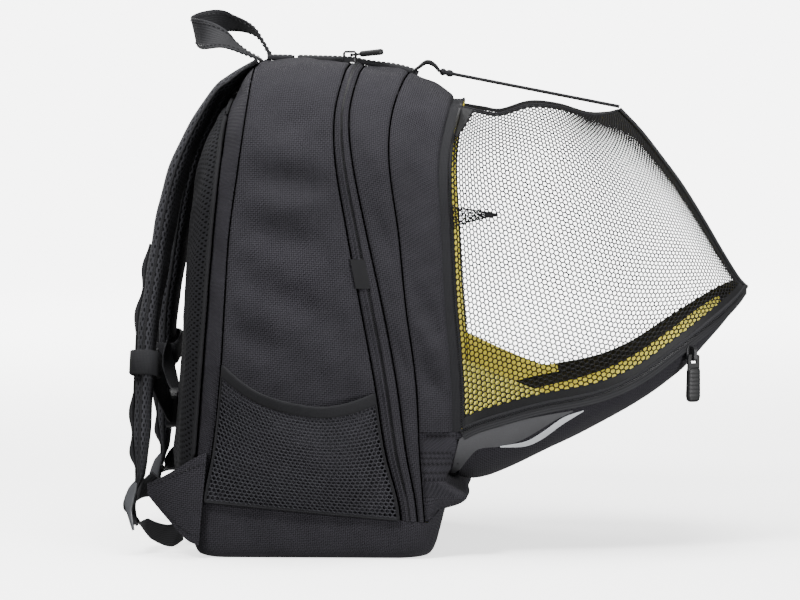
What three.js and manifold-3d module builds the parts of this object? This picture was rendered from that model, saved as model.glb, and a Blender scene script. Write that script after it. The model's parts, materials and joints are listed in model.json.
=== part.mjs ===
// A motorcycle backpack that stands on its base, with its front panel swung out as a shelf under a net.
// Millimetres. +X points away from the wearer's back, +Z is up, and the wearer's left side is at -Y.
// The origin is the middle of the flat base.
import * as THREE from 'three';
import { mergeVertices } from 'three/addons/utils/BufferGeometryUtils.js';
import Module from 'manifold-3d';

const wasm = await Module();
wasm.setup();

// Clearances and wall thicknesses
const SEAM_GAP = 0.4;
const CLOTH = 2.2;
const LINING = 1.2;
const NETTING = 1.2;
const WEBBING = 1.6;

// Seam lines of the bag seen from its side, as X at each height, and the bag's half width there
const SEAMS = [
  { z: 0, back: -99, rear: -92, zipRear: 76, zipFront: 90, bay: 96, front: 112, half: 128 },
  { z: 45, back: -98, rear: -90, zipRear: 73, zipFront: 87, bay: 93, front: 114, half: 134 },
  { z: 90, back: -95, rear: -81, zipRear: 62, zipFront: 79, bay: 90, front: 117, half: 140 },
  { z: 150, back: -90, rear: -74, zipRear: 53, zipFront: 71, bay: 87, front: 116, half: 145 },
  { z: 210, back: -85, rear: -70, zipRear: 42, zipFront: 60, bay: 79, front: 111, half: 147 },
  { z: 270, back: -80, rear: -66, zipRear: 31, zipFront: 47, bay: 73, front: 108, half: 146 },
  { z: 330, back: -74, rear: -58, zipRear: 21, zipFront: 35, bay: 65, front: 106, half: 143 },
  { z: 370, back: -70, rear: -53, zipRear: 20, zipFront: 32, bay: 67, front: 113, half: 141 },
  { z: 410, back: -62, rear: -49, zipRear: 28, zipFront: 40, bay: 80, front: 124, half: 140 },
];
// Height of each seam's crest over the bag, and how far it lies inside the widest seam
const CREST = { back: 380, rear: 412, zipRear: 410, zipFront: 408, bay: 402, front: 381 };
const INSET = { back: 10, rear: 0, zipRear: 0, zipFront: 0, bay: 1, front: 6 };
const SHOULDER = { rise: 95, run: 75, crown: 4 };
const SIDE_LEVELS = [60, 90, 120, 150, 195, 240, 270];
const LEVEL_CLEAR = 8;
const TRAY_MEETS_Z = 40;
const SHOULDER_STEPS = 5;

// Base tray: its outline at each height, as a share of the rim's height
const TRAY = [
  { share: 0, back: -88, front: 92, half: 119 },
  { share: 0.08, back: -96, front: 98, half: 125 },
  { share: 0.3, back: -99, front: 103, half: 129 },
  { share: 1, back: -98, front: 111, half: 133 },
];
const TRAY_RIM = { back: -90, front: 98, backZ: 48, frontZ: 31, lipX: 106, lipZ: 42 };
const TRAY_WALL = 2.5;
const TRAY_CORNER = { back: 16, front: 22 };

// Padded back panel
const BACK_PAD = { bottom: 50, topEase: 50, topShare: 0.97, halfHeight: 165, halfWidth: 130 };
const BACK_RINGS = [
  { inset: 60, depth: 0 },
  { inset: 0, depth: 0 },
  { inset: 0, depth: 6 },
  { inset: 2, depth: 14 },
  { inset: 9, depth: 20 },
  { inset: 20, depth: 22 },
  { inset: 60, depth: 20.5 },
];

// Lining wall at the back of the bay
const FRONT_WALL = { behindSeam: 1.6, spans: 6, lowInset: 8 };
const FRONT_WALL_LEVELS = [14, 30, 60, 106, 150, 200, 250, 290, 320, 345, 365, 380, 390];

// Fabric under the shelf's hinge: its front edge at each height, with one folded pleat
const PLEAT = [
  { z: 106.6, front: 122.6 },
  { z: 91, front: 119.5 },
  { z: 76, front: 114.5 },
  { z: 66, front: 112 },
  { z: 59, front: 120 },
  { z: 54.5, front: 127.5 },
  { z: 50.5, front: 129.5 },
  { z: 46.5, front: 124 },
  { z: 43.5, front: 113 },
];
const PLEAT_CORNER = 10;
const PLEAT_ABOVE_RIM = 3.4;
const HINGE_Z = 107;

// Shelf: plan half width, rim height and floor height along its length
const FLAP = [
  { x: 124, half: 133, rim: 107, floor: 65 },
  { x: 136, half: 133, rim: 113.5, floor: 60 },
  { x: 156, half: 132.5, rim: 120, floor: 66 },
  { x: 189, half: 131, rim: 129, floor: 82 },
  { x: 238, half: 126, rim: 139, floor: 107 },
  { x: 271, half: 119, rim: 153, floor: 126 },
  { x: 304, half: 108, rim: 176, floor: 149 },
  { x: 330, half: 91, rim: 195, floor: 177 },
  { x: 348, half: 68, rim: 208, floor: 195 },
  { x: 358, half: 44, rim: 215, floor: 205 },
  { x: 362, half: 24, rim: 217.5, floor: 209 },
];
const FLAP_WALL = 3;
const FLAP_ROUNDNESS = 0.55;
const FLAP_STEPS = 14;
const FLAP_SLANT = 10.5;
const FLAP_SLANT_LENGTH = 30;
const FLAP_SIDE = [
  { row: 0, upper: 0.97, lower: 0.858 },
  { row: 1, upper: 0.97, lower: 0.858 },
  { row: 2, upper: 0.97, lower: 0.858 },
  { row: 3, upper: 0.96, lower: 0.87 },
  { row: 4, upper: 0.95, lower: 0.92 },
];
const LINING_CORNER = { along: 0.25, up: 0.19, start: 0.004, foot: 0.012, tip: 0.02, inside: 1.5, steps: 6 };

// Net pouch: its front ridge, and its mouth's near half
const RIDGE = [
  { x: 363.5, z: 219 },
  { x: 356, z: 228 },
  { x: 343, z: 249 },
  { x: 326, z: 278 },
  { x: 309, z: 305 },
  { x: 292, z: 328 },
  { x: 274, z: 351 },
  { x: 256, z: 370 },
];
const MOUTH = [
  { x: 139, y: 101, z: 371 },
  { x: 155, y: 107, z: 369 },
  { x: 180, y: 109, z: 376 },
  { x: 205, y: 98, z: 374 },
  { x: 230, y: 66, z: 367 },
  { x: 247, y: 28, z: 367.5 },
];
const MOUTH_START_Z = 374;
const NET_STEPS = { along: 13, up: 11 };
const NET_CENTRE_GAP = 0.9;
const NET_EDGE = { beyondTape: 1.6, lowInset: 2, highInset: 3, rimLift: 1.2, rimInset: 1, hingeLift: 3 };
const BAY_TAPE = { width: 7, inset: 1.5 };
const RIDGE_TAPE = { width: 12, lift: 2.2 };

// Straps and cord on the crest
const TOP_STRAP = { width: 25, start: -18, end: 84.5, endLift: 1.2, layer: 0.7 };
const HANDLE_TAIL = { start: -44, end: -22 };
const TOP_LOCK = { x: 94, z: 404.6, length: 22, width: 30, height: 5, corner: 3, slotX: 6, slot: 5, lean: 8 };
const CORD_STOP = { x: 110, z: 401.5, length: 9, radius: 3.2, tipRadius: 2.4, sides: 10 };
const CORD = { radius: 1.5, steps: 18, startX: 115, startZ: 400.4, endX: 256.8, endZ: 372.7 };

// Grab handle: the middle of its webbing, and how far the webbing is turned from flat to upright
const HANDLE = [
  { x: -42, y: -26, z: 413, turn: 0 },
  { x: -58, y: -29, z: 420.5, turn: 6 },
  { x: -78, y: -30, z: 428, turn: 32 },
  { x: -98, y: -20, z: 434, turn: 70 },
  { x: -107, y: 0, z: 437, turn: 90 },
  { x: -100, y: 18, z: 442, turn: 108 },
  { x: -82, y: 29, z: 445, turn: 140 },
  { x: -58, y: 28, z: 437, turn: 160 },
  { x: -42, y: 26, z: 413.5, turn: 180 },
];
const HANDLE_WEB = { width: 25, thickness: 2, steps: 22 };

// Padded shoulder strap: its middle line, half width and half thickness, for the side at +Y
const STRAP = [
  { x: -54.2, y: 50, z: 409.6, wide: 30, thick: 4 },
  { x: -71.2, y: 53, z: 394.4, wide: 31, thick: 4 },
  { x: -84, y: 56, z: 382.4, wide: 32, thick: 4.2 },
  { x: -101, y: 60, z: 353, wide: 33, thick: 6.2 },
  { x: -114, y: 65, z: 322.5, wide: 33, thick: 7.2 },
  { x: -122.6, y: 70, z: 289.5, wide: 33, thick: 7.5 },
  { x: -128.6, y: 75, z: 256, wide: 32, thick: 7.5 },
  { x: -133.8, y: 80, z: 223, wide: 31, thick: 7.2 },
  { x: -139, y: 85, z: 190, wide: 29, thick: 6.8 },
  { x: -141, y: 90, z: 155, wide: 27, thick: 6.4 },
  { x: -142.5, y: 95, z: 120, wide: 25, thick: 6 },
  { x: -143.5, y: 99, z: 90, wide: 23, thick: 5.6 },
  { x: -143.5, y: 102, z: 68, wide: 20, thick: 5 },
];
const STRAP_STEPS = 26;
const STRAP_SIDES = 12;
const STRAP_WEB = { width: 25, from: 0.5, to: 0.985, steps: 18, lift: 1.5, bulge: 4.5, bulges: 5 };
const KEEPER = { at: 0.742, height: 20, wall: 2.5, clear: 3.2, webReach: 0.06, sides: 16, roundness: 0.5 };
const STERNUM = { width: 22, innerX: -135, innerY: 49.7, innerZ: 160, lowX: -126, lowZ: 113, endGap: 8 };
const STERNUM_STEPS = 9;
const STERNUM_BUCKLE = { length: 52, width: 30, height: 9, corner: 5 };
const BUCKLE_SLOT = { length: 4, width: 22.5, inset: 6 };

// Lower harness anchors, for the side at +Y
const STRAP_LOCK = { x: -152, y: 103, z: 45, length: 34, width: 32, height: 6, corner: 4, lean: 9 };
const LOCK_SLOT = { pitch: 9, length: 4.4 };
const WING = [
  { top: [-85, 142.4, 90], bottom: [-93, 132, 12] },
  { top: [-98, 140.4, 84], bottom: [-103, 132, 17] },
  { top: [-118, 130, 71], bottom: [-119, 127, 34] },
  { top: [-136, 117, 61], bottom: [-136, 117, 52] },
];
const WING_THICKNESS = 4;
const ANCHOR_WEB = [
  { x: -144.5, y: 103, z: 47, turn: 0 },
  { x: -139, y: 105.5, z: 50.5, turn: 24 },
  { x: -131, y: 112.4, z: 57.5, turn: 62 },
  { x: -124.5, y: 118.2, z: 63, turn: 70 },
];
const TAIL_WEB = [
  { x: -149.2, y: 103, z: 36 },
  { x: -148.2, y: 103, z: 28.5 },
  { x: -142, y: 103, z: 20.5 },
  { x: -131, y: 104, z: 13.5 },
  { x: -119, y: 105, z: 10.5 },
  { x: -109, y: 106, z: 15 },
];
const ANCHOR_WIDTH = 24;

// Mesh side pocket: its upper edge across the panel, and how far it stands out
const POCKET = [
  { across: 0, top: 163 },
  { across: 0.12, top: 153 },
  { across: 0.25, top: 144 },
  { across: 0.38, top: 138.5 },
  { across: 0.5, top: 135 },
  { across: 0.66, top: 132 },
  { across: 0.83, top: 134 },
  { across: 1, top: 140 },
];
const POCKET_FORM = { bulge: 36, sideEase: 0.8, footEase: 0.7, lift: 0.7, edge: 2, footGap: 1.2 };
const POCKET_STEPS = { across: 14, up: 6 };
const BINDING = { width: 9, thickness: 2.4 };

// Zip sliders and pullers
const SLIDER = { length: 12, width: 9, height: 3.6, corner: 2.5 };
const BRIDGE = { length: 12, width: 3, sunk: 1, reach: 6.4, bar: 2 };
const PULLER = { length: 36, width: 11, thickness: 2, corner: 2, eyeX: 1.5 };
const PULLER_EYE = { length: 5.4, width: 5.2, bar: 1.8 };
const FLAP_SLIDER = { x: 312, z: 170, clear: 1.5, across: -0.8 };
const MAIN_SLIDER = { x: 27, y: -17.4, z: 412.2, rest: 6 };
const MAIN_PULLER_LENGTH = 26;
const ZIP_TAB = { z: 238, height: 24, width: 12, thickness: 1.6, overlap: 1, lift: 0.6 };

const FINISHES = {
  polyester: { color: 0x2c2c2e, roughness: 0.85, metalness: 0 },
  airMesh: { color: 0x262628, roughness: 0.9, metalness: 0 },
  netting: { color: 0x1f1f20, roughness: 0.8, metalness: 0 },
  webbing: { color: 0x242426, roughness: 0.75, metalness: 0 },
  grey: { color: 0x56565a, roughness: 0.6, metalness: 0 },
  lining: { color: 0xb8a838, roughness: 0.8, metalness: 0 },
  plastic: { color: 0x1b1b1c, roughness: 0.4, metalness: 0 },
  greyPlastic: { color: 0x8c8c8e, roughness: 0.35, metalness: 0 },
  metal: { color: 0x4a4a4c, roughness: 0.35, metalness: 1 },
};

const backpack = new THREE.Group();

function add(name, geometry, finish, parent = backpack) {
  const mesh = new THREE.Mesh(geometry, new THREE.MeshStandardMaterial(FINISHES[finish]));
  mesh.name = name;
  parent.add(mesh);
  return mesh;
}

const point = (x, y, z) => new THREE.Vector3(x, y, z);
const mix = THREE.MathUtils.lerp;
const steps = (count) => Array.from({ length: count + 1 }, (_, i) => i / count);
const signedPower = (value, power) => Math.sign(value) * Math.abs(value) ** power;

// Smooth value of one column of a table at a place along another column.
function column(table, along, name) {
  const at = table.map((row) => row[along]);
  const value = table.map((row) => row[name]);
  const slope = value.map((_, i) => {
    const before = Math.max(i - 1, 0);
    const after = Math.min(i + 1, value.length - 1);
    return (value[after] - value[before]) / (at[after] - at[before]);
  });
  return (place) => {
    let i = 0;
    while (i < at.length - 2 && place > at[i + 1]) i += 1;
    const span = at[i + 1] - at[i];
    const t = THREE.MathUtils.clamp((place - at[i]) / span, 0, 1);
    const ease = t * t * (3 - 2 * t);
    const leave = t * (1 - t) * (1 - t) * slope[i];
    const arrive = t * t * (1 - t) * slope[i + 1];
    return mix(value[i], value[i + 1], ease) + span * (leave - arrive);
  };
}

// One closed solid from points and triangles, turned so that its faces point out.
function solid(points, triangles) {
  let volume = 0;
  for (let i = 0; i < triangles.length; i += 3) {
    const [a, b, c] = triangles.slice(i, i + 3).map((k) => points[k]);
    volume += a.dot(b.clone().cross(c));
  }
  const geometry = new THREE.BufferGeometry();
  geometry.setFromPoints(points);
  geometry.setIndex(volume < 0 ? triangles.toReversed() : triangles);
  return geometry;
}

// A solid between two grids of points, closed along their borders; a loop joins the last column to the first.
function between(outer, inner, loop = false) {
  const rows = outer.length;
  const columns = outer[0].length;
  const at = (layer, r, c) => (layer * rows + r) * columns + (c % columns);
  const triangles = [];
  const quad = (a, b, c, d) => triangles.push(a, b, c, a, c, d);
  const spans = loop ? columns : columns - 1;
  const last = rows - 1;
  for (let c = 0; c < spans; c += 1) {
    for (let r = 0; r < last; r += 1) {
      quad(at(0, r, c), at(0, r, c + 1), at(0, r + 1, c + 1), at(0, r + 1, c));
      quad(at(1, r, c), at(1, r + 1, c), at(1, r + 1, c + 1), at(1, r, c + 1));
    }
    quad(at(1, 0, c), at(1, 0, c + 1), at(0, 0, c + 1), at(0, 0, c));
    quad(at(0, last, c), at(0, last, c + 1), at(1, last, c + 1), at(1, last, c));
  }
  for (let r = 0; r < last && !loop; r += 1) {
    quad(at(0, r, 0), at(0, r + 1, 0), at(1, r + 1, 0), at(1, r, 0));
    quad(at(1, r, spans), at(1, r + 1, spans), at(0, r + 1, spans), at(0, r, spans));
  }
  return solid([...outer.flat(), ...inner.flat()], triangles);
}

// The grid moved along its own normals, which point to the left of its rows.
function offset(grid, distance) {
  return grid.map((row, r) => row.map((p, c) => {
    const across = row[Math.min(c + 1, row.length - 1)].clone().sub(row[Math.max(c - 1, 0)]);
    const along = grid[Math.min(r + 1, grid.length - 1)][c].clone().sub(grid[Math.max(r - 1, 0)][c]);
    return p.clone().addScaledVector(across.cross(along).normalize(), distance);
  }));
}

const sheet = (grid, front, back) => between(offset(grid, front), offset(grid, back));

// A solid through closed rings of points, with a flat fan over each end.
function loft(rings) {
  const sides = rings[0].length;
  const points = rings.flat();
  const triangles = [];
  const at = (r, c) => r * sides + (c % sides);
  for (let r = 0; r < rings.length - 1; r += 1) {
    for (let c = 0; c < sides; c += 1) {
      triangles.push(at(r, c), at(r, c + 1), at(r + 1, c + 1), at(r, c), at(r + 1, c + 1), at(r + 1, c));
    }
  }
  for (const r of [0, rings.length - 1]) {
    const middle = rings[r].reduce((sum, p) => sum.add(p), point(0, 0, 0)).divideScalar(sides);
    points.push(middle);
    for (let c = 0; c < sides; c += 1) {
      const edge = r === 0 ? [at(r, c + 1), at(r, c)] : [at(r, c), at(r, c + 1)];
      triangles.push(points.length - 1, ...edge);
    }
  }
  return solid(points, triangles);
}

// A flat band of webbing along a path, each point of which has its own width direction.
function webbing(path, across, width, thickness = WEBBING) {
  const grid = path.map((p, i) => [-0.5, 0.5].map((k) => p.clone().addScaledVector(across[i], k * width)));
  return sheet(grid, thickness / 2, -thickness / 2);
}

// Directions at each point of a path: along it, across it nearest to Y, and out of it.
function strapFrames(path) {
  return path.map((p, i) => {
    const tangent = path[Math.min(i + 1, path.length - 1)].clone().sub(path[Math.max(i - 1, 0)]).normalize();
    const across = point(0, 1, 0).addScaledVector(tangent, -tangent.y).normalize();
    const out = across.clone().cross(tangent).normalize();
    return { p, tangent, across, out };
  });
}

// A rounded section around one point of a path.
function sectionRing(frame, wide, thick, sides, roundness = 0.6) {
  return steps(sides).slice(0, sides).map((t) => {
    const angle = t * 2 * Math.PI;
    return frame.p.clone()
      .addScaledVector(frame.across, wide * signedPower(Math.cos(angle), roundness))
      .addScaledVector(frame.out, thick * signedPower(Math.sin(angle), roundness));
  });
}

// The union of closed shapes as one solid.
function join(...geometries) {
  const solids = geometries.map((geometry) => {
    const bare = geometry.clone();
    bare.deleteAttribute('normal');
    bare.deleteAttribute('uv');
    const merged = mergeVertices(bare);
    const mesh = new wasm.Mesh({
      numProp: 3,
      vertProperties: new Float32Array(merged.attributes.position.array),
      triVerts: new Uint32Array(merged.index.array),
    });
    return new wasm.Manifold(mesh);
  });
  const whole = solids.reduce((sum, next) => sum.add(next)).getMesh();
  const geometry = new THREE.BufferGeometry();
  geometry.setAttribute('position', new THREE.BufferAttribute(whole.vertProperties, 3));
  geometry.setIndex(new THREE.BufferAttribute(whole.triVerts, 1));
  return geometry;
}

// A plate with rounded corners and rectangular slots, in the XY plane and centred on it.
function plate(length, width, height, corner, slots = []) {
  const outline = [];
  for (const [quarter, signX, signY] of [[0, 1, 1], [1, -1, 1], [2, -1, -1], [3, 1, -1]]) {
    for (const t of steps(3)) {
      const angle = (quarter + t) * Math.PI / 2;
      const x = signX * (length / 2 - corner) + corner * Math.cos(angle);
      outline.push(new THREE.Vector2(x, signY * (width / 2 - corner) + corner * Math.sin(angle)));
    }
  }
  const shape = new THREE.Shape(outline);
  for (const slot of slots) {
    const ends = [[-0.5, -0.5], [-0.5, 0.5], [0.5, 0.5], [0.5, -0.5]];
    const hole = ends.map(([a, b]) => new THREE.Vector2(slot.x + a * slot.length, b * slot.width));
    shape.holes.push(new THREE.Path(hole));
  }
  const geometry = new THREE.ExtrudeGeometry(shape, { depth: height, bevelEnabled: false });
  return geometry.translate(0, 0, -height / 2);
}

// Bag surface
const seamX = Object.fromEntries(Object.keys(CREST).map((seam) => [seam, column(SEAMS, 'z', seam)]));
const bagHalf = column(SEAMS, 'z', 'half');

function rimZ(x) {
  const { back, front, backZ, frontZ, lipX, lipZ } = TRAY_RIM;
  const side = mix(backZ, frontZ, THREE.MathUtils.clamp((x - back) / (front - back), 0, 1));
  return mix(side, lipZ, THREE.MathUtils.clamp((x - front) / (lipX - front), 0, 1));
}

// The half width of a seam's arch at a height, with its rounded shoulder.
function archHalf(seam, z) {
  const spring = CREST[seam] - SHOULDER.rise;
  const over = THREE.MathUtils.clamp((z - spring) / (SHOULDER.rise - SHOULDER.crown), 0, 1);
  return bagHalf(Math.min(z, spring)) - INSET[seam] - SHOULDER.run * (1 - Math.sqrt(1 - over * over));
}

// Points of a seam's arch from the left foot over the crest to the right foot.
function arch(seam, footZ) {
  const spring = CREST[seam] - SHOULDER.rise;
  const springHalf = archHalf(seam, spring);
  const levels = SIDE_LEVELS.filter((z) => z > footZ + LEVEL_CLEAR && z < spring - LEVEL_CLEAR);
  const left = [footZ, ...levels].map((z) => ({ y: archHalf(seam, z), z }));
  for (const t of steps(SHOULDER_STEPS)) {
    const angle = t * Math.PI / 2;
    const y = springHalf - SHOULDER.run * (1 - Math.cos(angle));
    left.push({ y, z: spring + (SHOULDER.rise - SHOULDER.crown) * Math.sin(angle) });
  }
  const flatHalf = springHalf - SHOULDER.run;
  left.push({ y: flatHalf / 2, z: CREST[seam] - SHOULDER.crown / 4 });
  const place = (side) => ({ y, z }) => point(seamX[seam](z), side * y, z);
  const top = place(1)({ y: 0, z: CREST[seam] });
  return [...left.map(place(-1)), top, ...left.toReversed().map(place(1))];
}

// An arch moved inward, square to itself, by the thickness of a wall.
function insideArch(line, wall) {
  return line.map((p, i) => {
    const [before, after] = [line[Math.max(i - 1, 0)], line[Math.min(i + 1, line.length - 1)]];
    const along = after.clone().sub(before).setX(0).normalize();
    return point(p.x, p.y + wall * along.z, p.z - wall * along.y);
  });
}

// A band of cloth that runs over the bag between two arches.
function archBand(first, second, wall, spans = 1) {
  const [outer, inner] = [0, wall].map((depth) => {
    const far = insideArch(second, depth);
    return insideArch(first, depth).map((p, i) => {
      const gap = SEAM_GAP / 2 / first[i].distanceTo(second[i]);
      return steps(spans).map((t) => p.clone().lerp(far[i], mix(gap, 1 - gap, t)));
    });
  });
  return between(outer, inner);
}

function footOnTray(seam) {
  return rimZ(seamX[seam](TRAY_MEETS_Z)) + SEAM_GAP;
}

function makeBody() {
  const bands = [
    { name: 'rear_gusset', from: 'back', to: 'rear', spans: 1 },
    { name: 'main_panel', from: 'rear', to: 'zipRear', spans: 2 },
    { name: 'zip_band', from: 'zipRear', to: 'zipFront', spans: 1 },
    { name: 'front_gusset', from: 'zipFront', to: 'bay', spans: 1 },
  ];
  for (const { name, from, to, spans } of bands) {
    add(name, archBand(arch(from, footOnTray(from)), arch(to, footOnTray(to)), CLOTH, spans), 'polyester');
  }
  const hingeFoot = HINGE_Z + SEAM_GAP;
  add('bay_gusset', archBand(arch('bay', hingeFoot), arch('front', hingeFoot), CLOTH), 'polyester');
  const edge = arch('front', hingeFoot);
  const inward = (distance) => (p) => {
    const half = archHalf('front', p.z);
    const topward = THREE.MathUtils.clamp((p.z - CREST.front + SHOULDER.rise) / SHOULDER.rise, 0, 1);
    return point(p.x, p.y * (1 - distance / half), p.z - distance * topward);
  };
  const tapeBack = edge.map(inward(BAY_TAPE.inset)).map((p) => p.add(point(SEAM_GAP / 2, 0, 0)));
  const tapeFront = tapeBack.map((p) => p.clone().add(point(BAY_TAPE.width, 0, 0)));
  add('bay_zip_tape', archBand(tapeBack, tapeFront, LINING), 'webbing');
}

function trayRing(level, wall, lift) {
  const half = level.half - wall;
  const ring = [];
  const corners = [
    { end: level.front - wall, radius: TRAY_CORNER.front - wall, quarter: 0, signX: 1, signY: 1 },
    { end: level.back + wall, radius: TRAY_CORNER.back - wall, quarter: 1, signX: -1, signY: 1 },
    { end: level.back + wall, radius: TRAY_CORNER.back - wall, quarter: 2, signX: -1, signY: -1 },
    { end: level.front - wall, radius: TRAY_CORNER.front - wall, quarter: 3, signX: 1, signY: -1 },
  ];
  corners.forEach(({ end, radius, quarter, signX, signY }, i) => {
    for (const t of steps(4)) {
      const angle = (quarter + t) * Math.PI / 2;
      const y = signY * (half - radius) + radius * Math.sin(angle);
      ring.push({ x: end - radius * (signX - Math.cos(angle)), y });
    }
    const next = corners[(i + 1) % corners.length];
    const from = ring.at(-1);
    const to = i % 2 ? { x: from.x, y: -from.y } : { x: next.end - next.radius * next.signX, y: from.y };
    for (const t of steps(4).slice(1, 4)) ring.push({ x: mix(from.x, to.x, t), y: mix(from.y, to.y, t) });
  });
  return ring.map(({ x, y }) => point(x, y, Math.max(level.share * rimZ(x), lift)));
}

function makeBaseTray() {
  const outer = TRAY.map((level) => trayRing(level, 0, 0));
  const inner = TRAY.toReversed().map((level) => trayRing(level, TRAY_WALL, TRAY_WALL));
  add('base_tray', loft([...outer, ...inner]), 'polyester');
}

function makeBackPanel() {
  const outline = arch('back', BACK_PAD.bottom);
  const foot = outline[0];
  const bottom = steps(5).slice(1, 5).map((t) => point(foot.x, mix(-foot.y, foot.y, t), foot.z));
  const middleZ = (BACK_PAD.bottom + CREST.back) / 2;
  const easeFrom = CREST.back - BACK_PAD.topEase;
  const rings = BACK_RINGS.map(({ inset, depth }) => [...outline, ...bottom].map((p) => {
    const z = middleZ + (p.z - middleZ) * (1 - inset / BACK_PAD.halfHeight);
    const over = THREE.MathUtils.clamp((z - easeFrom) / BACK_PAD.topEase, 0, BACK_PAD.topShare);
    const x = seamX.back(z) - SEAM_GAP / 2 - depth * Math.sqrt(1 - over * over);
    return point(x, p.y * (1 - inset / BACK_PAD.halfWidth), z);
  }));
  add('back_panel', loft(rings), 'airMesh');
}

function makeFrontWall() {
  const clear = CLOTH + SEAM_GAP;
  const wallPoint = (y, z) => point(seamX.bay(z) - FRONT_WALL.behindSeam, y, z);
  const grid = FRONT_WALL_LEVELS.map((z) => steps(FRONT_WALL.spans).map((t) => {
    const clearTray = z < TRAY_RIM.lipZ ? FRONT_WALL.lowInset : 0;
    const half = archHalf('bay', z + clear) - clear - INSET.bay - clearTray;
    return wallPoint(mix(-half, half, t), z);
  }));
  const topHalf = archHalf('bay', CREST.bay) - clear;
  const topRow = steps(FRONT_WALL.spans).map((t) => {
    const share = 2 * t - 1;
    return wallPoint(share * topHalf, CREST.bay - SHOULDER.crown * share * share - clear - SEAM_GAP);
  });
  add('front_wall', sheet([...grid, topRow], CLOTH / 2, -CLOTH / 2), 'lining');
}

function makeLowerGusset() {
  const grid = PLEAT.toReversed().map(({ z, front }) => {
    const half = bagHalf(z) - INSET.front + 1;
    const start = seamX.bay(z) + SEAM_GAP;
    const left = [point(start, -half, z), point((start + front - PLEAT_CORNER) / 2, -half, z)];
    for (const t of steps(3)) {
      const angle = t * Math.PI / 2;
      const x = front - PLEAT_CORNER * (1 - Math.sin(angle));
      left.push(point(x, -half + PLEAT_CORNER * (1 - Math.cos(angle)), z));
    }
    left.push(point(front, -half / 2, z));
    const right = left.toReversed().map((p) => point(p.x, -p.y, p.z));
    return [...left, point(front, 0, z), ...right];
  });
  const [lowest, ...folds] = grid;
  const foot = lowest.map((p) => point(p.x, p.y, rimZ(p.x) + PLEAT_ABOVE_RIM));
  add('lower_gusset', sheet([foot, ...folds], 0, -CLOTH), 'polyester');
}

// Shelf surface, from the hinge to the tip along it and from the left rim to the right rim across it
const flapHalf = column(FLAP, 'x', 'half');
const flapRim = column(FLAP, 'x', 'rim');
const flapFloor = column(FLAP, 'x', 'floor');

function flapPoint(x, across) {
  const angle = Math.abs(across) * Math.PI / 2;
  const down = Math.cos(angle) ** FLAP_ROUNDNESS;
  const start = FLAP[0].x;
  const slant = FLAP_SLANT * down * Math.max(0, 1 - (x - start) / FLAP_SLANT_LENGTH) ** 2;
  const y = Math.sign(across) * flapHalf(x) * Math.sin(angle) ** FLAP_ROUNDNESS;
  return point(x - slant, y, mix(flapRim(x), flapFloor(x), down));
}

function flapGrid(lastRow = FLAP.length) {
  return FLAP.slice(0, lastRow).map(({ x }) => steps(FLAP_STEPS).map((t) => flapPoint(x, 2 * t - 1)));
}

function makeFlap() {
  add('flap_shell', sheet(flapGrid(), 0, -FLAP_WALL), 'polyester');
  const liningOut = FLAP_WALL + SEAM_GAP;
  add('flap_lining', sheet(flapGrid(FLAP.length - 3), -liningOut, -liningOut - LINING), 'lining');
  const facet = 1 - 2 / FLAP_STEPS;
  for (const { name, side } of [{ name: 'left', side: -1 }, { name: 'right', side: 1 }]) {
    const grid = FLAP_SIDE.map(({ row, upper, lower }) => {
      const [rim, below] = [1, facet].map((across) => flapPoint(FLAP[row].x, side * across));
      return [upper, lower].map((across) => rim.clone().lerp(below, (1 - across) / (1 - facet)));
    });
    add(`flap_side_${name}`, sheet(grid, -side * SEAM_GAP, -side * (SEAM_GAP + LINING)), 'grey');
  }
}

// Net pouch: a patch between the bag's edge, the shelf's rim, the front ridge and the mouth
function netPatch() {
  const { beyondTape, lowInset, highInset, rimLift, rimInset, hingeLift } = NET_EDGE;
  const edgePoint = (z, bendZ, inset) => {
    const x = seamX.front(bendZ) + BAY_TAPE.width + beyondTape;
    return point(x, -archHalf('front', bendZ) + inset, z);
  };
  const hinge = edgePoint(HINGE_Z + hingeLift, HINGE_Z, lowInset);
  const edgeLine = steps(8).map((t) => {
    const z = mix(HINGE_Z + hingeLift, MOUTH_START_Z, t);
    return edgePoint(z, z, mix(lowInset, highInset, t));
  });
  const rimLine = FLAP.slice(1).map((row) => point(row.x, -row.half + rimInset, row.rim + rimLift));
  const tip = point(RIDGE[0].x, 0, RIDGE[0].z);
  const ridgeLine = RIDGE.map(({ x, z }) => point(x, 0, z));
  const mouthLine = MOUTH.map(({ x, y, z }) => point(x, -y, z));
  const edge = new THREE.CatmullRomCurve3(edgeLine);
  const rim = new THREE.CatmullRomCurve3([hinge, ...rimLine, tip]);
  const ridge = new THREE.CatmullRomCurve3(ridgeLine);
  const mouth = new THREE.CatmullRomCurve3([edgeLine.at(-1), ...mouthLine, ridgeLine.at(-1)]);
  return (along, up) => {
    const [left, right] = [edge.getPointAt(up), ridge.getPointAt(up)];
    const [low, high] = [rim.getPointAt(along), mouth.getPointAt(along)];
    const lowEnds = edge.getPointAt(0).lerp(ridge.getPointAt(0), along);
    const highEnds = edge.getPointAt(1).lerp(ridge.getPointAt(1), along);
    const ends = lowEnds.lerp(highEnds, up);
    const place = left.lerp(right, along).add(low.lerp(high, up)).sub(ends);
    return place.setY(Math.min(place.y, -NET_CENTRE_GAP));
  };
}

const mirrored = (grid, side) => grid.map((row) => row.map((p) => point(p.x, -side * p.y, p.z)));

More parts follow.
